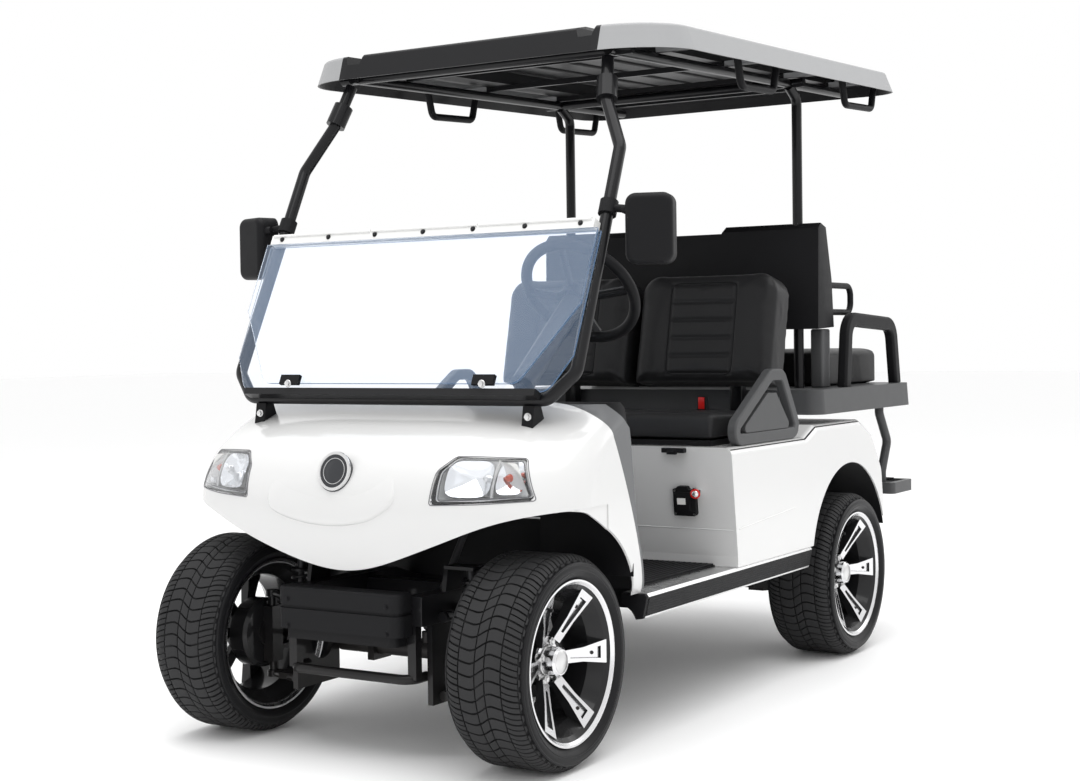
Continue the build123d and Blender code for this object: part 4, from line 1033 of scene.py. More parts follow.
def addCushions():
    look = cushionLook
    lean = radians(look["frontLean"])
    face, up = (0, -cos(lean), sin(lean)), (0, sin(lean), cos(lean))
    foot = 0.246 * sin(lean) + 0.866 * cos(lean)
    lines = [foot + 0.034 + look["channelStep"] * k for k in range(6)]
    centre, half = look["frontPanel"]
    for shape in islandsOf("front_backrests")[:2]:
        side = 1 if sum(corner[0] for corner in shape[0]) > 0 else -1
        name = "frontBackrest" + ("Left" if side > 0 else "Right")
        makeCushion(name, shape, "front_backrests", "chassis", face, up, [side * centre], half, lines)
    up, ahead = (0, 0, 1), (0, 1, 0)
    seat = islandsOf("front_cushion")[0]
    lines = [-0.125 + look["seatStep"] * k for k in range(7)]
    centre, half = look["seatPanel"]
    makeCushion("frontSeatPad", seat, "front_cushion", "front_seat", up, ahead, [-centre, centre], half, lines)
    rear = islandsOf("rear_cushion")
    lines = [0.83 + look["seatStep"] * k for k in range(7)]
    centre, half = look["rearPanel"]
    makeCushion("rearSeatPad", rear[0], "rear_cushion", "rear_seat", up, ahead, [-centre, centre], half, lines)
    hinges = [(joinShapes(rear[1:]), "black_steel")]
    makePiece("rearSeatHinges", hinges, "rear_seat", replaced=["rear_cushion"])
    tilt = atan2(772 - 706, 1345 - 1192)
    face, up = (0, cos(tilt), sin(tilt)), (0, -sin(tilt), cos(tilt))
    middle = 0.739 * -sin(tilt) + 1.268 * cos(tilt)
    lines = [middle - 0.13 + look["rearStep"] * k for k in range(5)]
    back = islandsOf("rear_back_cushion")[0]
    centre, half = look["backPanel"]
    makeCushion("rearBackPad", back, "rear_back_cushion", "chassis", face, up, [-centre, centre], half, lines)


addCushions()
print("stage: cushions")


# A coil of wire between two points
def helix(foot, head, radius, turns, wire, steps=18):
    foot, head = Vector(foot), Vector(head)
    along = (head - foot).normalized()
    side = along.orthogonal().normalized()
    other = along.cross(side)
    points = []
    for number in range(turns * steps + 1):
        share = number / (turns * steps)
        angle = 2 * pi * turns * share
        points.append(foot.lerp(head, share) + radius * (cos(angle) * side + sin(angle) * other))
    return tube(points, wire, 8)


# Ribbed rubber boot between two points
def bellows(foot, head, radius, folds):
    foot, head = Vector(foot), Vector(head)
    length = (head - foot).length
    profile = [(radius * 0.55, 0)]
    for number in range(folds):
        low, fold = length * number / folds, length / folds
        profile += [(radius * 0.72, low + fold * 0.15), (radius, low + fold * 0.5),
                    (radius * 0.72, low + fold * 0.85)]
    profile.append((radius * 0.55, length))
    return lathe(profile, aimMatrix(foot, head - foot), 28)


springLook = {
    "foot": (0.285, -1.028, 0.170), "head": (0.2625, -1.028, 0.452),
    "coilRadius": 0.0225, "turns": 6, "wire": 0.0042,
}


# Front dampers in coil springs, and the rear dampers as the part has them
def addSprings():
    look = springLook
    springs, bodies = [], []
    for side in (-1, 1):
        foot, head = (Vector((side * x, y, z)) for x, y, z in (look["foot"], look["head"]))
        way = (head - foot).normalized()
        length = (head - foot).length
        matrix = aimMatrix(foot, way)
        damper = [(0.0001, -0.004), (0.011, -0.004), (0.013, 0.004), (0.013, 0.022), (0.017, 0.026),
                  (0.017, 0.150), (0.0155, 0.154), (0.0075, 0.156), (0.0075, length - 0.03),
                  (0.012, length - 0.026), (0.012, length + 0.002), (0.0001, length + 0.002)]
        lowSeat = [(0.0172, 0.066), (0.0265, 0.068), (0.0265, 0.072), (0.0172, 0.074)]
        highSeat = [(0.0076, length - 0.030), (0.0265, length - 0.028), (0.0265, length - 0.022),
                    (0.0120, length - 0.020)]
        bodies.append((lathe(damper, matrix, 32), "dark_metal"))
        bodies += [(lathe(seat, matrix, 32, True), "black_steel") for seat in (lowSeat, highSeat)]
        coil = (foot + way * 0.075, head - way * 0.033)
        springs.append(helix(*coil, look["coilRadius"], look["turns"], look["wire"]))
    shapes = islandsOf("shocks")
    bodies += [(shape, "dark_metal") for shape in shapes if sum(c[1] for c in shape[0]) / len(shape[0]) > 0]
    makePiece("damperBodies", bodies, "chassis", replaced=["shocks"])
    addTrim("coilSprings", springs, "black_steel")


linkageLook = {"y": -0.918, "z": 0.234, "sleeve": (0.326, 0.350), "nut": 0.300}


# A rubber boot and a lock nut on each tie rod
def addLinkage():
    look = linkageLook
    for side, body, name in ((-1, "tie_rod_right", "rodEnds_r"), (1, "tie_rod_left", "rodEnds_l")):
        places = [Vector((side * x, look["y"], look["z"])) for x in (*look["sleeve"], look["nut"])]
        sleeve = bellows(places[0], places[1], 0.0125, 3)
        nut = prism(hexagon(0.0105), aimMatrix(places[2], (side, 0, 0)), 0.012, 0.0012)
        makePiece(name, [(sleeve, "black_plastic"), (nut, "bright_metal")], body)


addSprings()
addLinkage()
print("stage: springs")


cowlLook = {
    "smile": [(-0.205, 0.640), (-0.184, 0.606), (-0.10, 0.582), (0.0, 0.575), (0.10, 0.590), (0.168, 0.627),
              (0.182, 0.660)],
    "lampOutline": [(0.277, 0.630), (0.508, 0.641), (0.470, 0.734), (0.318, 0.739), (0.284, 0.706)],
    "lip": [(-0.0062, -0.0012), (-0.0040, 0.0014), (-0.0012, 0.0040), (0.0022, 0.0054), (0.008, 0.0056),
            (0.020, 0.0044), (0.034, 0.0026), (0.050, 0.0010), (0.062, 0.0001), (0.070, -0.0010)],
    "badgeTilt": 76,
}


# Shut line round each lamp
def addCowlDetails():
    surface = surfaceOf("front_cowl")
    dense = finePoints(roundedOutline(cowlLook["lampOutline"], 0.009, 5), 0.006)
    middle = sum(dense, Vector((0, 0))) / len(dense)
    wide = [middle + (p - middle) * (1 + 0.0022 / (p - middle).length) for p in dense]
    seams = []
    for side in (-1, 1):
        ring = layOn(surface, [(side * p.x, -1.2, p.y) for p in wide], (0, 1, 0))
        seams.append(tube([p for p in ring if p.y < -1.02], 0.0013, 6, True))
    addTrim("cowlSeams", seams, "seamShade")


# Strip between two rings, each point at its own depth behind the lens
def wallBetween(outer, inner, frontY):
    count = len(outer)
    corners = [Vector((p.x, frontY(p.x, p.y) + depth, p.y)) for p, depth in outer + inner]
    faces = [[n, (n + 1) % count, count + (n + 1) % count, count + n] for n in range(count)]
    return corners, faces


# Bowls: centre, half width, half height, depth and room behind the lens.
# Bulbs: x, z, distance behind the lens, radius and finish.
lampLook = {
    "bowls": (((0.357, 0.688), 0.053, 0.040, 0.030, 0.011), ((0.449, 0.690), 0.029, 0.036, 0.022, 0.012)),
    "bulbs": ((0.392, 0.690, 0.014, 0.0085, "bright_metal"), (0.440, 0.690, 0.013, 0.0095, "amberLens"),
              (0.466, 0.697, 0.013, 0.0055, "amberLens")),
    "opening": ((0.292, 0.639), (0.496, 0.649), (0.463, 0.727), (0.322, 0.731), (0.294, 0.703)),
    "divider": ((0.4160, 0.647), (0.4155, 0.670), (0.4150, 0.700), (0.4145, 0.728)),
}


# Bezel, reflector bowls, bulbs and the divider behind each lens
def addLampInsides():
    lens = surfaceOf("headlamp_lenses")
    depthAt = {}

    def frontY(x, z):
        key = (round(abs(x), 3), round(z, 3))
        if key not in depthAt:
            hit = lens.ray_cast(Vector((key[0], -1.8, key[1])), Vector((0, 1, 0)))[0]
            depthAt[key] = hit.y if hit else None
        if depthAt[key] is None:
            inward = (0.004 if key[0] < 0.38 else -0.004, 0.004 if key[1] < 0.69 else -0.004)
            return frontY(key[0] + inward[0], key[1] + inward[1])
        return depthAt[key]

    def bowl(centre, halfWide, halfTall, depth, clearance):
        corners, faces = [], []
        rings, steps = 7, 36
        for ring in range(rings + 1):
            share = ring / rings
            for step in range(steps):
                angle = 2 * pi * step / steps
                shape = (abs(cos(angle)) ** 4 + abs(sin(angle)) ** 4) ** -0.25
                x = centre[0] + halfWide * share * cos(angle) * shape
                z = centre[1] + halfTall * share * sin(angle) * shape
                y = frontY(x, z)
                corners.append(Vector((x, y + clearance + depth * (1 - share ** 2), z)))
        for ring in range(rings):
            for step in range(steps):
                after = (step + 1) % steps
                a, b = ring * steps, (ring + 1) * steps
                faces.append([a + step, a + after, b + after, b + step])
        return corners, faces

    def bulb(x, z, back, radius):
        profile = [(0.0001, 0.0), (radius * 0.7, 0.002), (radius, radius), (radius, radius * 2.4),
                   (radius * 0.6, radius * 2.6)]
        return lathe(profile, aimMatrix((x, frontY(x, z) + back, z), (0, 1, 0)), 24)

    dense = finePoints(roundedOutline(lampLook["opening"], 0.008, 4), 0.008)
    middle = sum(dense, Vector((0, 0))) / len(dense)
    scaled = [middle + (p - middle) * 0.94 for p in dense]
    edge = [middle + (p - middle) * (1 + 0.0045 / (p - middle).length) for p in dense]
    frame = wallBetween([(p, 0.0085) for p in edge], [(p, 0.0105) for p in dense], frontY)
    walls = wallBetween([(p, 0.0105) for p in dense], [(p, 0.060) for p in scaled], frontY)
    rearY = frontY(middle.x, middle.y) + 0.050
    back = [Vector((p.x, rearY, p.y)) for p in (middle + (q - middle) * 0.97 for q in dense)]
    count = len(back)
    fan = [[n, (n + 1) % count, count] for n in range(count)]
    rear = ([*back, Vector((middle.x, rearY + 0.004, middle.y))], fan)
    bezel = [Vector((p.x, frontY(p.x, p.y) + 0.0095, p.y)) for p in dense]
    divider = [Vector((x, frontY(x, z) + 0.010, z)) for x, z in lampLook["divider"]]
    parts = [(bowl(*values), "lamp_bowl") for values in lampLook["bowls"]]
    parts += [(shape, "paleTrim") for shape in (frame, walls, rear)]
    parts += [(tube(bezel, 0.0014, 8, True), "seamShade"), (tube(divider, 0.0034, 8), "paleTrim")]
    parts += [(bulb(*values), finish) for *values, finish in lampLook["bulbs"]]
    parts += [(mirrorShape(shape), finish) for shape, finish in parts]
    makePiece("lampInsides", parts, "chassis", replaced=["headlamp_housings"])


# Closed skin between two equal grids of points
def slabOf(front, back):
    rows, count = len(front), len(front[0])
    corners = [p for row in front for p in row] + [p for row in back for p in row]
    half = rows * count
    last = (rows - 1) * count
    faces = []
    for r in range(rows - 1):
        for c in range(count - 1):
            a = r * count + c
            faces.append([a, a + 1, a + count + 1, a + count])
            faces.append([half + a, half + a + count, half + a + count + 1, half + a + 1])
    for c in range(count - 1):
        faces.append([c, half + c, half + c + 1, c + 1])
        a = last + c
        faces.append([a, a + 1, half + a + 1, half + a])
    for r in range(rows - 1):
        a, b = r * count, r * count + count - 1
        faces.append([a, a + count, half + a + count, half + a])
        faces.append([b, half + b, half + b + count, b + count])
    return corners, faces


# The nose stands a little proud above its curved lower crease
def addCowlLip():
    surface = surfaceOf("front_cowl")
    line = smoothLine([(x, 0, z) for x, z in cowlLook["smile"]], 14)
    front, back = [], []
    for rise, lift in cowlLook["lip"]:
        outer, inner = [], []
        for number, p in enumerate(line):
            share = number / (len(line) - 1)
            fade = min(1.0, sin(pi * share) * 2.2)
            start = Vector((p.x * (1 - rise * 1.5), -1.8, p.z + rise))
            place, normal = surface.ray_cast(start, Vector((0, 1, 0)))[:2]
            outward = normal if normal.y < 0 else -normal
            outer.append(place + outward * (lift * fade - 0.0012 * (1 - fade)))
            inner.append(place - outward * 0.0030)
        front.append(outer)
        back.append(inner)
    makePiece("noseLip", [(slabOf(front, back), "white_body")], "chassis", sharp=60)


# Carries the front arch's curve on under the cowl's side, flush with it
def archInfill(cowl):
    def edgeAt(y):
        for step in range(520, 640):
            place = cowl.ray_cast(Vector((0.9, y, step / 1000)), Vector((-1, 0, 0)), 0.4)[0]
            if place:
                return place

    foot = edgeAt(-0.8985).z
    arch = ((-1.115, 0.613), (-1.075, 0.6125), (-1.035, 0.6095), (-0.995, 0.602), (-0.960, foot + 0.0325),
            (-0.930, foot + 0.0175), (-0.8992, foot), (-0.870, foot - 0.017))
    curve = smoothLine([(y, z, 0) for y, z in arch], 6)
    front, back = [], []
    for point in curve:
        if point.x > -0.8990 or point.x < -1.09:
            continue
        edge = edgeAt(min(point.x, -0.9005))
        low = min(point.y, edge.z - 0.0004)
        rows = [low, (low + edge.z) / 2, edge.z + 0.0004]
        front.append([Vector((edge.x, point.x, z)) for z in rows])
        back.append([Vector((edge.x - 0.005, point.x, z)) for z in rows])
    return slabOf(front, back)


# Step lines on the sides and the kick panel, and the filled corners of the front arches
def addBodyCreases():
    body = surfaceOf("rear_body")
    depth, radius = -0.0006, 0.0019
    shapes = []
    for side in (-1, 1):
        points = [(side * 0.566, -0.165 + 0.01 * k, 0.480 + 0.0006 * k) for k in range(40)]
        shapes.append(tube(layOn(body, points, (-side, 0, 0), depth), radius, 8))
    across = [(x / 100, -0.25, 0.477) for x in range(-56, 57, 4)]
    shapes.append(tube(layOn(body, across, (0, 1, 0), depth), radius, 8))
    shapes.append(bothSides(archInfill(surfaceOf("front_cowl"))))
    addTrim("bodyCreases", shapes, "white_body")
    well = pad((0.300, -0.770, 0.425), (0.566, -0.766, 0.640), 0.0012)
    addTrim("frontWellPanels", [bothSides(well)], "black_plastic")


# Blank disc in a bright ring
def addBadge():
    tilt = radians(cowlLook["badgeTilt"])
    normal = Vector((0, -sin(tilt), cos(tilt)))
    low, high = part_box("badge_disc")
    face = max(vert.co.dot(normal) for vert in nodes["badge_disc"].data.vertices)
    centre = Vector((0, (low[1] + high[1]) / 2, (low[2] + high[2]) / 2))
    centre += normal * (face - centre.dot(normal))
    matrix = aimMatrix(centre, normal)
    outer = [(0.0395, -0.0030), (0.0405, 0.0014), (0.0440, 0.0022), (0.0472, 0.0012), (0.0482, -0.0030)]
    inner = [(0.0300, -0.0010), (0.0306, 0.0008), (0.0318, 0.0008), (0.0324, -0.0010)]
    dome = [(0.0001, 0.0012), (0.012, 0.0010), (0.022, 0.0004), (0.0300, -0.0006)]
    makePiece("badgeRing", [
        (lathe(outer, matrix, 72, True), "bright_metal"), (lathe(inner, matrix, 64, True), "bright_metal"),
        (lathe(dome, matrix, 64), "badge_face"),
    ], "chassis")


addCowlDetails()
addCowlLip()
addBodyCreases()
addLampInsides()
addBadge()
print("stage: cowl")


floorLook = {
    "sillTop": (0.5715, 0.3660), "sillFoot": (0.5602, 0.3130), "sillRibs": 7, "sillLength": 1.044,
    "matRibs": 58, "matRibStep": 0.017,
    "toeRibs": 8, "toeRibStep": 0.021, "footrestBars": 7, "footrestStep": 0.022,
    "pedals": (0.1635, 0.342), "pedalRibs": 4, "pedalRibStep": 0.014,
}


# Ribs, a face plate and an end cap on each sill
def addSillDetails():
    look = floorLook
    rib = tube([(0, -0.697, 0), (0, -0.2, 0), (0, 0.342, 0)], 0.0024, 8)
    plate = [(0, 0), (0.0014, 0.0012), (0.0014, 0.0498), (0, 0.051)]
    ends = [(0.500, 0.3735), (0.5665, 0.3735), (0.5722, 0.3660), (0.5600, 0.3120), (0.5400, 0.3085),
            (0.5300, 0.3300), (0.500, 0.3500)]
    standing = Matrix.Translation((0, -0.7005, 0)) @ Matrix.Rotation(pi / 2, 4, "X")
    for side, end in ((-1, "r"), (1, "l")):
        outer, inner = (Vector((side * x, 0, z)) for x, z in (look["sillTop"], look["sillFoot"]))
        step = (inner - outer) / 8
        ribs = repeatShape("sillRibs_" + end, rib, "black_plastic", look["sillRibs"], outer + step, step=step)
        down = (inner - outer).normalized()
        out = Vector((side * abs(down.z), 0, -abs(down.x))).normalized()
        matrix = axesMatrix(outer - down * 0.0005 + Vector((0, -0.6995, 0)), out, down, (0, 1, 0))
        cap = prism([(side * x, z) for x, z in ends], standing, 0.012, 0.0016)
        addTrim("sillCap_" + end, [cap], "black_plastic")
        addTrim("sillFace_" + end, [prism(plate, matrix, look["sillLength"])], "black_plastic")
        settle(ribs, "chassis")


# Ribbed mat, toe board ribs and footrest bars
def addFloorDetails():
    look = floorLook
    mat = pad((-0.4965, -0.636, 0.3782), (0.4965, -0.178, 0.3822), 0.0012)
    base = makePiece("floorMat", [(mat, "black_plastic")])
    rib = tube([(0, -0.004, 0), (0, 0.428, 0)], 0.0026, 6)
    repeatShape("floorMat", rib, "black_plastic", look["matRibs"], (-0.4846, -0.622, 0.3824),
                step=(look["matRibStep"], 0, 0), base=base)
    settle(base, "chassis")
    lean = Vector((0, -0.118, 0.174)).normalized()
    bar = tube([(-0.42, 0, 0), (0, 0, 0), (0.42, 0, 0)], 0.0026, 6)
    toe = repeatShape("toeRibs", bar, "black_plastic", look["toeRibs"], (0, -0.658, 0.405),
                      step=lean * look["toeRibStep"])
    settle(toe, "chassis")
    bar = tube([(-0.50, 0, 0), (0, 0, 0), (0.50, 0, 0)], 0.0030, 8)
    bars = repeatShape("footrestTreads", bar, "black_plastic", look["footrestBars"], (0, 1.125, 0.5075),
                       step=(0, look["footrestStep"], 0))
    settle(bars, "chassis")


# Rubber ribs across both pedals
def addPedalRibs():
    look = floorLook
    surface = surfaceOf("pedals")
    shapes = []
    for x in look["pedals"]:
        for k in range(look["pedalRibs"]):
            height = 0.470 + look["pedalRibStep"] * k
            line = [(x + shift, -0.6, height) for shift in (-0.018, 0, 0.018)]
            points = layOn(surface, line, (0, -1, 0), 0.0006)
            if len(points) == 3:
                shapes.append(tube(points, 0.0018, 6))
    addTrim("pedalRibs", shapes, "grey_plastic")


addSillDetails()
addFloorDetails()
addPedalRibs()
print("stage: floor")


softened = {"rear_back_shell": 0.007, "rear_posts": 0.006, "backrest_frame": 0.003, "battery_pack": 0.008}


# A copy of the node with its sharp edges rounded over
def softenNode(node, width):
    mesh = nodes[node].data.copy()
    work = bmesh.new()
    work.from_mesh(mesh)
    bmesh.ops.remove_doubles(work, verts=work.verts[:], dist=0.00002)
    bmesh.ops.dissolve_limit(work, angle_limit=radians(1), verts=work.verts[:], edges=work.edges[:])
    edges = [edge for edge in work.edges if edge.is_manifold and edge.calc_face_angle() > radians(25)]
    bmesh.ops.bevel(work, geom=edges, offset=width, segments=3, profile=0.5, affect="EDGES", clamp_overlap=True)
    work.to_mesh(mesh)
    work.free()
    thing = addObject(node + "_soft", mesh)
    given = nodes[node].material_slots[0].material
    mesh.materials.clear()
    mesh.materials.append(given)
    tidyNormals(mesh, 30)
    settle(thing, body_of(nodes[node])[0], [node])


for node, width in softened.items():
    softenNode(node, width)
print("stage: softened")


# Ribs under the roof's middle panel
def addRoofDetails():
    slope = tan(radians(2.5))
    underside = surfaceOf("roof")
    rows = []
    for x in (-0.30, -0.18, -0.06, 0.06, 0.18, 0.30):
        points = layOn(underside, [(x, -0.54 + 0.075 * k, 1.6) for k in range(20)], (0, 0, 1))
        line = [p + Vector((0, 0, -0.001)) for p in points if p.z > 1.775 + slope * (p.y + 0.65)]
        if len(line) > 3:
            rows.append(tube(line, 0.006, 8))
    addTrim("roofUnderRibs", rows, "black_plastic")


# A point over the windshield's plane, forward along its normal
def glassPoint(x, z, forward):
    y = -0.985 + tan(glassLean) * (z - 0.866)
    return Vector((x, y, z)) + glassNormal * forward


windshieldLook = {
    "screwHeight": 1.271, "screws": (-0.47, -0.31, -0.155, 0.0, 0.155, 0.31, 0.47),
    "barrelHeight": 1.2805, "barrels": ((-0.500, -0.172), (-0.166, 0.166), (0.172, 0.500)),
}


# Screws along the upper strip, and the barrels of the fold's hinge
def addWindshieldDetails():
    look = windshieldLook
    strips = surfaceOf("windshield_strips")
    above = [glassPoint(x, look["screwHeight"], 0.05) for x in look["screws"]]
    places = [(point, glassNormal) for point in layOn(strips, above, -glassNormal)]
    scatterShape("stripScrews", hexBolt(0.009, 0.0035, 0.0068), "dark_metal", places, "chassis")
    barrels = []
    for low, high in look["barrels"]:
        line = [glassPoint(x, look["barrelHeight"], 0.047) for x in (low, (low + high) / 2, high)]
        barrels.append(tube(line, 0.0042, 12))
    addTrim("hingeBarrels", barrels, "paleTrim")


# Ball joint behind each mirror
def addMirrorDetails():
    profile = [(0.0001, -0.012), (0.009, -0.010), (0.0125, 0.0), (0.0125, 0.016), (0.009, 0.020),
               (0.0001, 0.020)]
    balls = [lathe(profile, aimMatrix((side * 0.566, -0.783, 1.322), (side, 0, -0.1)), 24) for side in (-1, 1)]
    addTrim("mirrorJoints", balls, "black_plastic")


addRoofDetails()
addWindshieldDetails()
addMirrorDetails()
print("stage: roof")


# Each part of a buckle: its low and high corners, bevel and finish
buckleLook = {
    "across": 0.268,
    "case": ((-0.015, 0.222, 0.774), (0.015, 0.243, 0.829), 0.005, "black_plastic"),
    "release": ((-0.010, 0.2195, 0.791), (0.010, 0.2235, 0.827), 0.0016, "redPlastic"),
}


# Belt buckles with red releases at the cushion's rear edge
def addBuckles():
    parts = []
    for x in (-buckleLook["across"], buckleLook["across"]):
        for low, high, bevel, finish in (buckleLook["case"], buckleLook["release"]):
            parts.append((pad((x + low[0], *low[1:]), (x + high[0], *high[1:]), bevel), finish))
    makePiece("beltBuckles", parts, "front_seat")


# Key switch plate with a blank label, a charging cap at its corner and the seat's latch
def addSwitchDetails():
    rake = (-0.211 + 0.174) / (0.706 - 0.403)
    base = Vector((0.424, -0.174 + rake * (0.557 - 0.403), 0.557))
    up, outward = Vector((0, rake, 1)).normalized(), Vector((0, -1, rake)).normalized()
    matrix = axesMatrix(base, (1, 0, 0), up, outward)

    def block(outline, height, depth, bevel, segments=2):
        return prism(outline, matrix @ Matrix.Translation((0, 0, height)), depth, bevel, segments)

    corners = [(-0.034, -0.042), (0.030, -0.042), (0.034, -0.036), (0.034, 0.032), (0.014, 0.032),
               (0.010, 0.041), (-0.020, 0.041), (-0.024, 0.034), (-0.034, 0.034)]
    plate = prism([(p.x, p.y) for p in roundedOutline(corners, 0.0025, 3)], matrix, 0.016, 0.0016)
    step = block([(-0.026, -0.026), (0.020, -0.026), (0.020, 0.026), (-0.026, 0.026)], 0.0155, 0.005, 0.0016)
    blank = [(-0.020, -0.009), (0.006, -0.009), (0.006, 0.009), (-0.020, 0.009)]
    label = block(blank, 0.0203, 0.0006, 0.0002, 1)
    screws = [prism(hexagon(0.0032), matrix @ Matrix.Translation((x, y, 0.0158)), 0.0018, 0.0004)
              for x, y in ((-0.029, -0.036), (0.029, -0.036), (-0.028, 0.029))]
    arm = block([(0.022, 0.012), (0.044, 0.012), (0.047, 0.030), (0.026, 0.036)], 0.004, 0.007, 0.0014)
    knob = matrix @ Matrix.Translation((0.036, 0.025, 0.010)) @ Matrix.Rotation(radians(18), 4, "Y")
    stem = lathe([(0.0001, -0.010), (0.009, -0.010), (0.009, 0.012), (0.0115, 0.013), (0.0115, 0.018),
                  (0.0001, 0.018)], knob, 32)
    ring = lathe([(0.0090, 0.0175), (0.0135, 0.0180), (0.0140, 0.0215), (0.0125, 0.0235), (0.0090, 0.0240)],
                 knob, 36, True)
    cap = lathe([(0.0092, 0.0180), (0.0092, 0.0245), (0.0078, 0.0262), (0.0001, 0.0268)], knob, 36)
    makePiece("switchBox", [
        (plate, "black_plastic"), (step, "black_plastic"), (label, "blankLabel"),
        (joinShapes(screws), "bright_metal"), (stem, "bright_metal"), (ring, "redPlastic"),
        (cap, "bright_metal"), (arm, "black_plastic"),
    ], "chassis", replaced=["switch_plate"])
    latch = [pad((0.365, -0.232, 0.690), (0.435, -0.2125, 0.703), 0.003),
             pad((0.385, -0.240, 0.686), (0.415, -0.230, 0.699), 0.0025)]
    addTrim("seatLatch", latch, "black_plastic")


steeringLook = {"lean": 39, "centre": (0.272, -0.503, 1.134), "spokes": (0, 180, 270)}


# Cap and ring on the hub, and a cover on each spoke
def addSteeringDetails():
    look = steeringLook
    lean = radians(look["lean"])
    matrix = axesMatrix(look["centre"], (1, 0, 0), (0, -sin(lean), cos(lean)), (0, cos(lean), sin(lean)))
    cap = lathe([(0.0001, -0.0075), (0.016, -0.0078), (0.030, -0.0095), (0.040, -0.0135), (0.0442, -0.0190),
                 (0.0446, -0.0240)], matrix, 48)
    ring = lathe([(0.0205, -0.0080), (0.0212, -0.0066), (0.0226, -0.0066), (0.0233, -0.0084)], matrix, 40, True)
    half = [(0.036, -0.017), (0.078, -0.010), (0.128, -0.0085), (0.140, -0.012)]
    outline = half + [(x, -y) for x, y in half[::-1]]
    hub = 0.030
    rise = Matrix.Rotation(-atan2(0.030, 0.125), 4, "Y")
    tilt = Matrix.Translation((hub, 0, -0.0245)) @ rise @ Matrix.Translation((-hub, 0, 0))
    turns = [Matrix.Rotation(radians(angle), 4, "Z") for angle in look["spokes"]]
    arms = [prism(outline, matrix @ turn @ tilt, 0.007, 0.0022) for turn in turns]
    makePiece("steeringTrim", [
        (cap, "black_plastic"), (ring, "grey_plastic"), (joinShapes(arms), "grey_plastic"),
    ], "steering_wheel_body")


# Each knob's x, radius and finish
dashKnobs = ((0.12, 0.011, "bright_metal"), (0.07, 0.011, "black_plastic"), (0.02, 0.013, "grey_plastic"),
             (-0.03, 0.011, "black_plastic"))


# Knobs and sockets on the dashboard's face
def addDashDetails():
    surface = surfaceOf("dashboard")
    parts = []
    for x, radius, finish in dashKnobs:
        knob = [(radius * 1.3, -0.001), (radius * 1.3, 0.002), (radius, 0.003), (radius * 0.92, 0.009),
                (0.0001, 0.0095)]
        for point in layOn(surface, [(x, -0.75, 0.800)], (0, -1, 0)):
            parts.append((lathe(knob, aimMatrix(point, (0, 1, 0.1)), 28), finish))
    makePiece("dashKnobs", parts, "chassis")


addBuckles()
addSwitchDetails()
addSteeringDetails()
addDashDetails()
print("stage: controls")


# Places for bolts where the points meet the node, each with its outward way
def onNode(node, points, direction):
    surface = surfaceOf(node)
    away = -Vector(direction).normalized()
    return [(place, away) for place in layOn(surface, points, direction, -0.0003)]


# Bolts on the backrest frame and the clips, screws on the trim and the bumper
def addBolts():
    bolts, screws = [], []
    for side in (-1, 1):
        bolts += onNode("backrest_frame", [(side * 0.300, 0.40, z) for z in (0.80, 0.90)], (0, -1, 0))
        bolts += onNode("windshield_clips", [(side * 0.300, -0.99, 0.905), (side * 0.415, -1.0, 0.826)],
                        (0, 1, 0))
        screws += onNode("cowl_trim", [(side * 0.6, -0.70, 0.5), (side * 0.6, -0.72, 0.65)], (-side, 0, 0))
        screws += onNode("front_bumper", [(side * 0.15, -1.3, z) for z in (0.32, 0.385)], (0, 1, 0))
    scatterShape("frameBolts", hexBolt(0.013, 0.006, 0.0100), "bright_metal", bolts, "chassis")
    scatterShape("trimScrews", hexBolt(0.008, 0.003, 0.0065), "black_plastic", screws, "chassis")


addBolts()
print("stage: bolts")


# Stands to the driver's side of the nose, at about chest height
camera = {
    "place": (2.535, -4.380, 1.009),
    "turn": 31.70,
    "lookDown": 1.734,
    "roll": -0.817,
    "lens": 56.1,
    "sensor": 36.0,
}


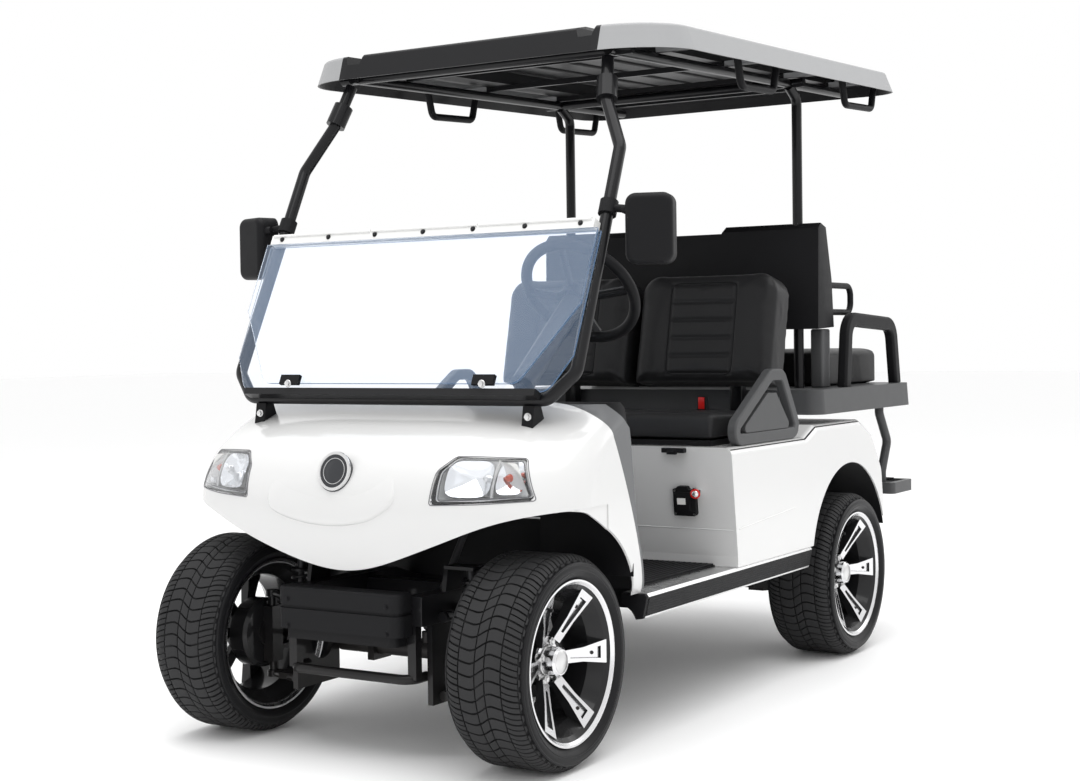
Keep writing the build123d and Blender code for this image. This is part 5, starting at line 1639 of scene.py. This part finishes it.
# Aims the camera by its turn, tilt and roll
def addCamera(view):
    turn, down, roll = (radians(view[key]) for key in ("turn", "lookDown", "roll"))
    ahead = Vector((-sin(turn) * cos(down), cos(turn) * cos(down), -sin(down)))
    right = Vector((cos(turn), sin(turn), 0))
    above = right.cross(ahead)
    tiltedRight = cos(roll) * right + sin(roll) * above
    tiltedAbove = cos(roll) * above - sin(roll) * right
    data = bpy.data.cameras.new("camera")
    data.lens = view["lens"]
    data.sensor_width = view["sensor"]
    thing = addObject("camera", data)
    columns = Matrix((tiltedRight, tiltedAbove, -ahead)).transposed()
    thing.matrix_world = Matrix.Translation(view["place"]) @ columns.to_4x4()
    bpy.context.scene.camera = thing


def addLight(name, place, target, size, power):
    data = bpy.data.lights.new(name, "AREA")
    data.shape = "RECTANGLE"
    data.size, data.size_y = size
    data.energy = power
    thing = addObject(name, data)
    aim = Vector(target) - Vector(place)
    thing.matrix_world = Matrix.Translation(place) @ aim.to_track_quat("-Z", "Y").to_matrix().to_4x4()


# Each light's name, place, target, size and power
studioLook = {
    "world": 1.0, "floor": (0.975, 0.975, 0.975, 1), "floorReach": 40,
    "lights": (
        ("topSoft", (0.5, -0.6, 5.2), (0, 0, 0.5), (6.0, 6.0), 270),
        ("keySoft", (4.2, -5.2, 3.4), (0, -0.3, 0.7), (3.0, 2.4), 5),
        ("fillSoft", (-5.0, -3.5, 2.2), (0, 0, 0.7), (3.5, 2.5), 6),
        ("rimSoft", (3.5, 4.8, 3.0), (0, 0.4, 0.9), (3.0, 2.5), 30),
    ),
}


def addStudio():
    world = bpy.data.worlds.new("studio")
    world.use_nodes = True
    background = world.node_tree.nodes["Background"]
    background.inputs["Color"].default_value = (1.0, 1.0, 1.0, 1)
    background.inputs["Strength"].default_value = studioLook["world"]
    bpy.context.scene.world = world
    bpy.context.scene.view_settings.view_transform = "Standard"
    for light in studioLook["lights"]:
        addLight(*light)
    reach = studioLook["floorReach"]
    mesh = bpy.data.meshes.new("floor")
    corners = [(-reach, -reach, 0), (reach, -reach, 0), (reach, reach, 0), (-reach, reach, 0)]
    mesh.from_pydata(corners, [], [(0, 1, 2, 3)])
    floor = addObject("floor", mesh)
    pale = bpy.data.materials.new("paleFloor")
    pale.use_nodes = True
    shader = pale.node_tree.nodes["Principled BSDF"]
    shader.inputs["Base Color"].default_value = studioLook["floor"]
    shader.inputs["Roughness"].default_value = 0.6
    mesh.materials.append(pale)


addCamera(camera)
addStudio()
print("stage: studio")
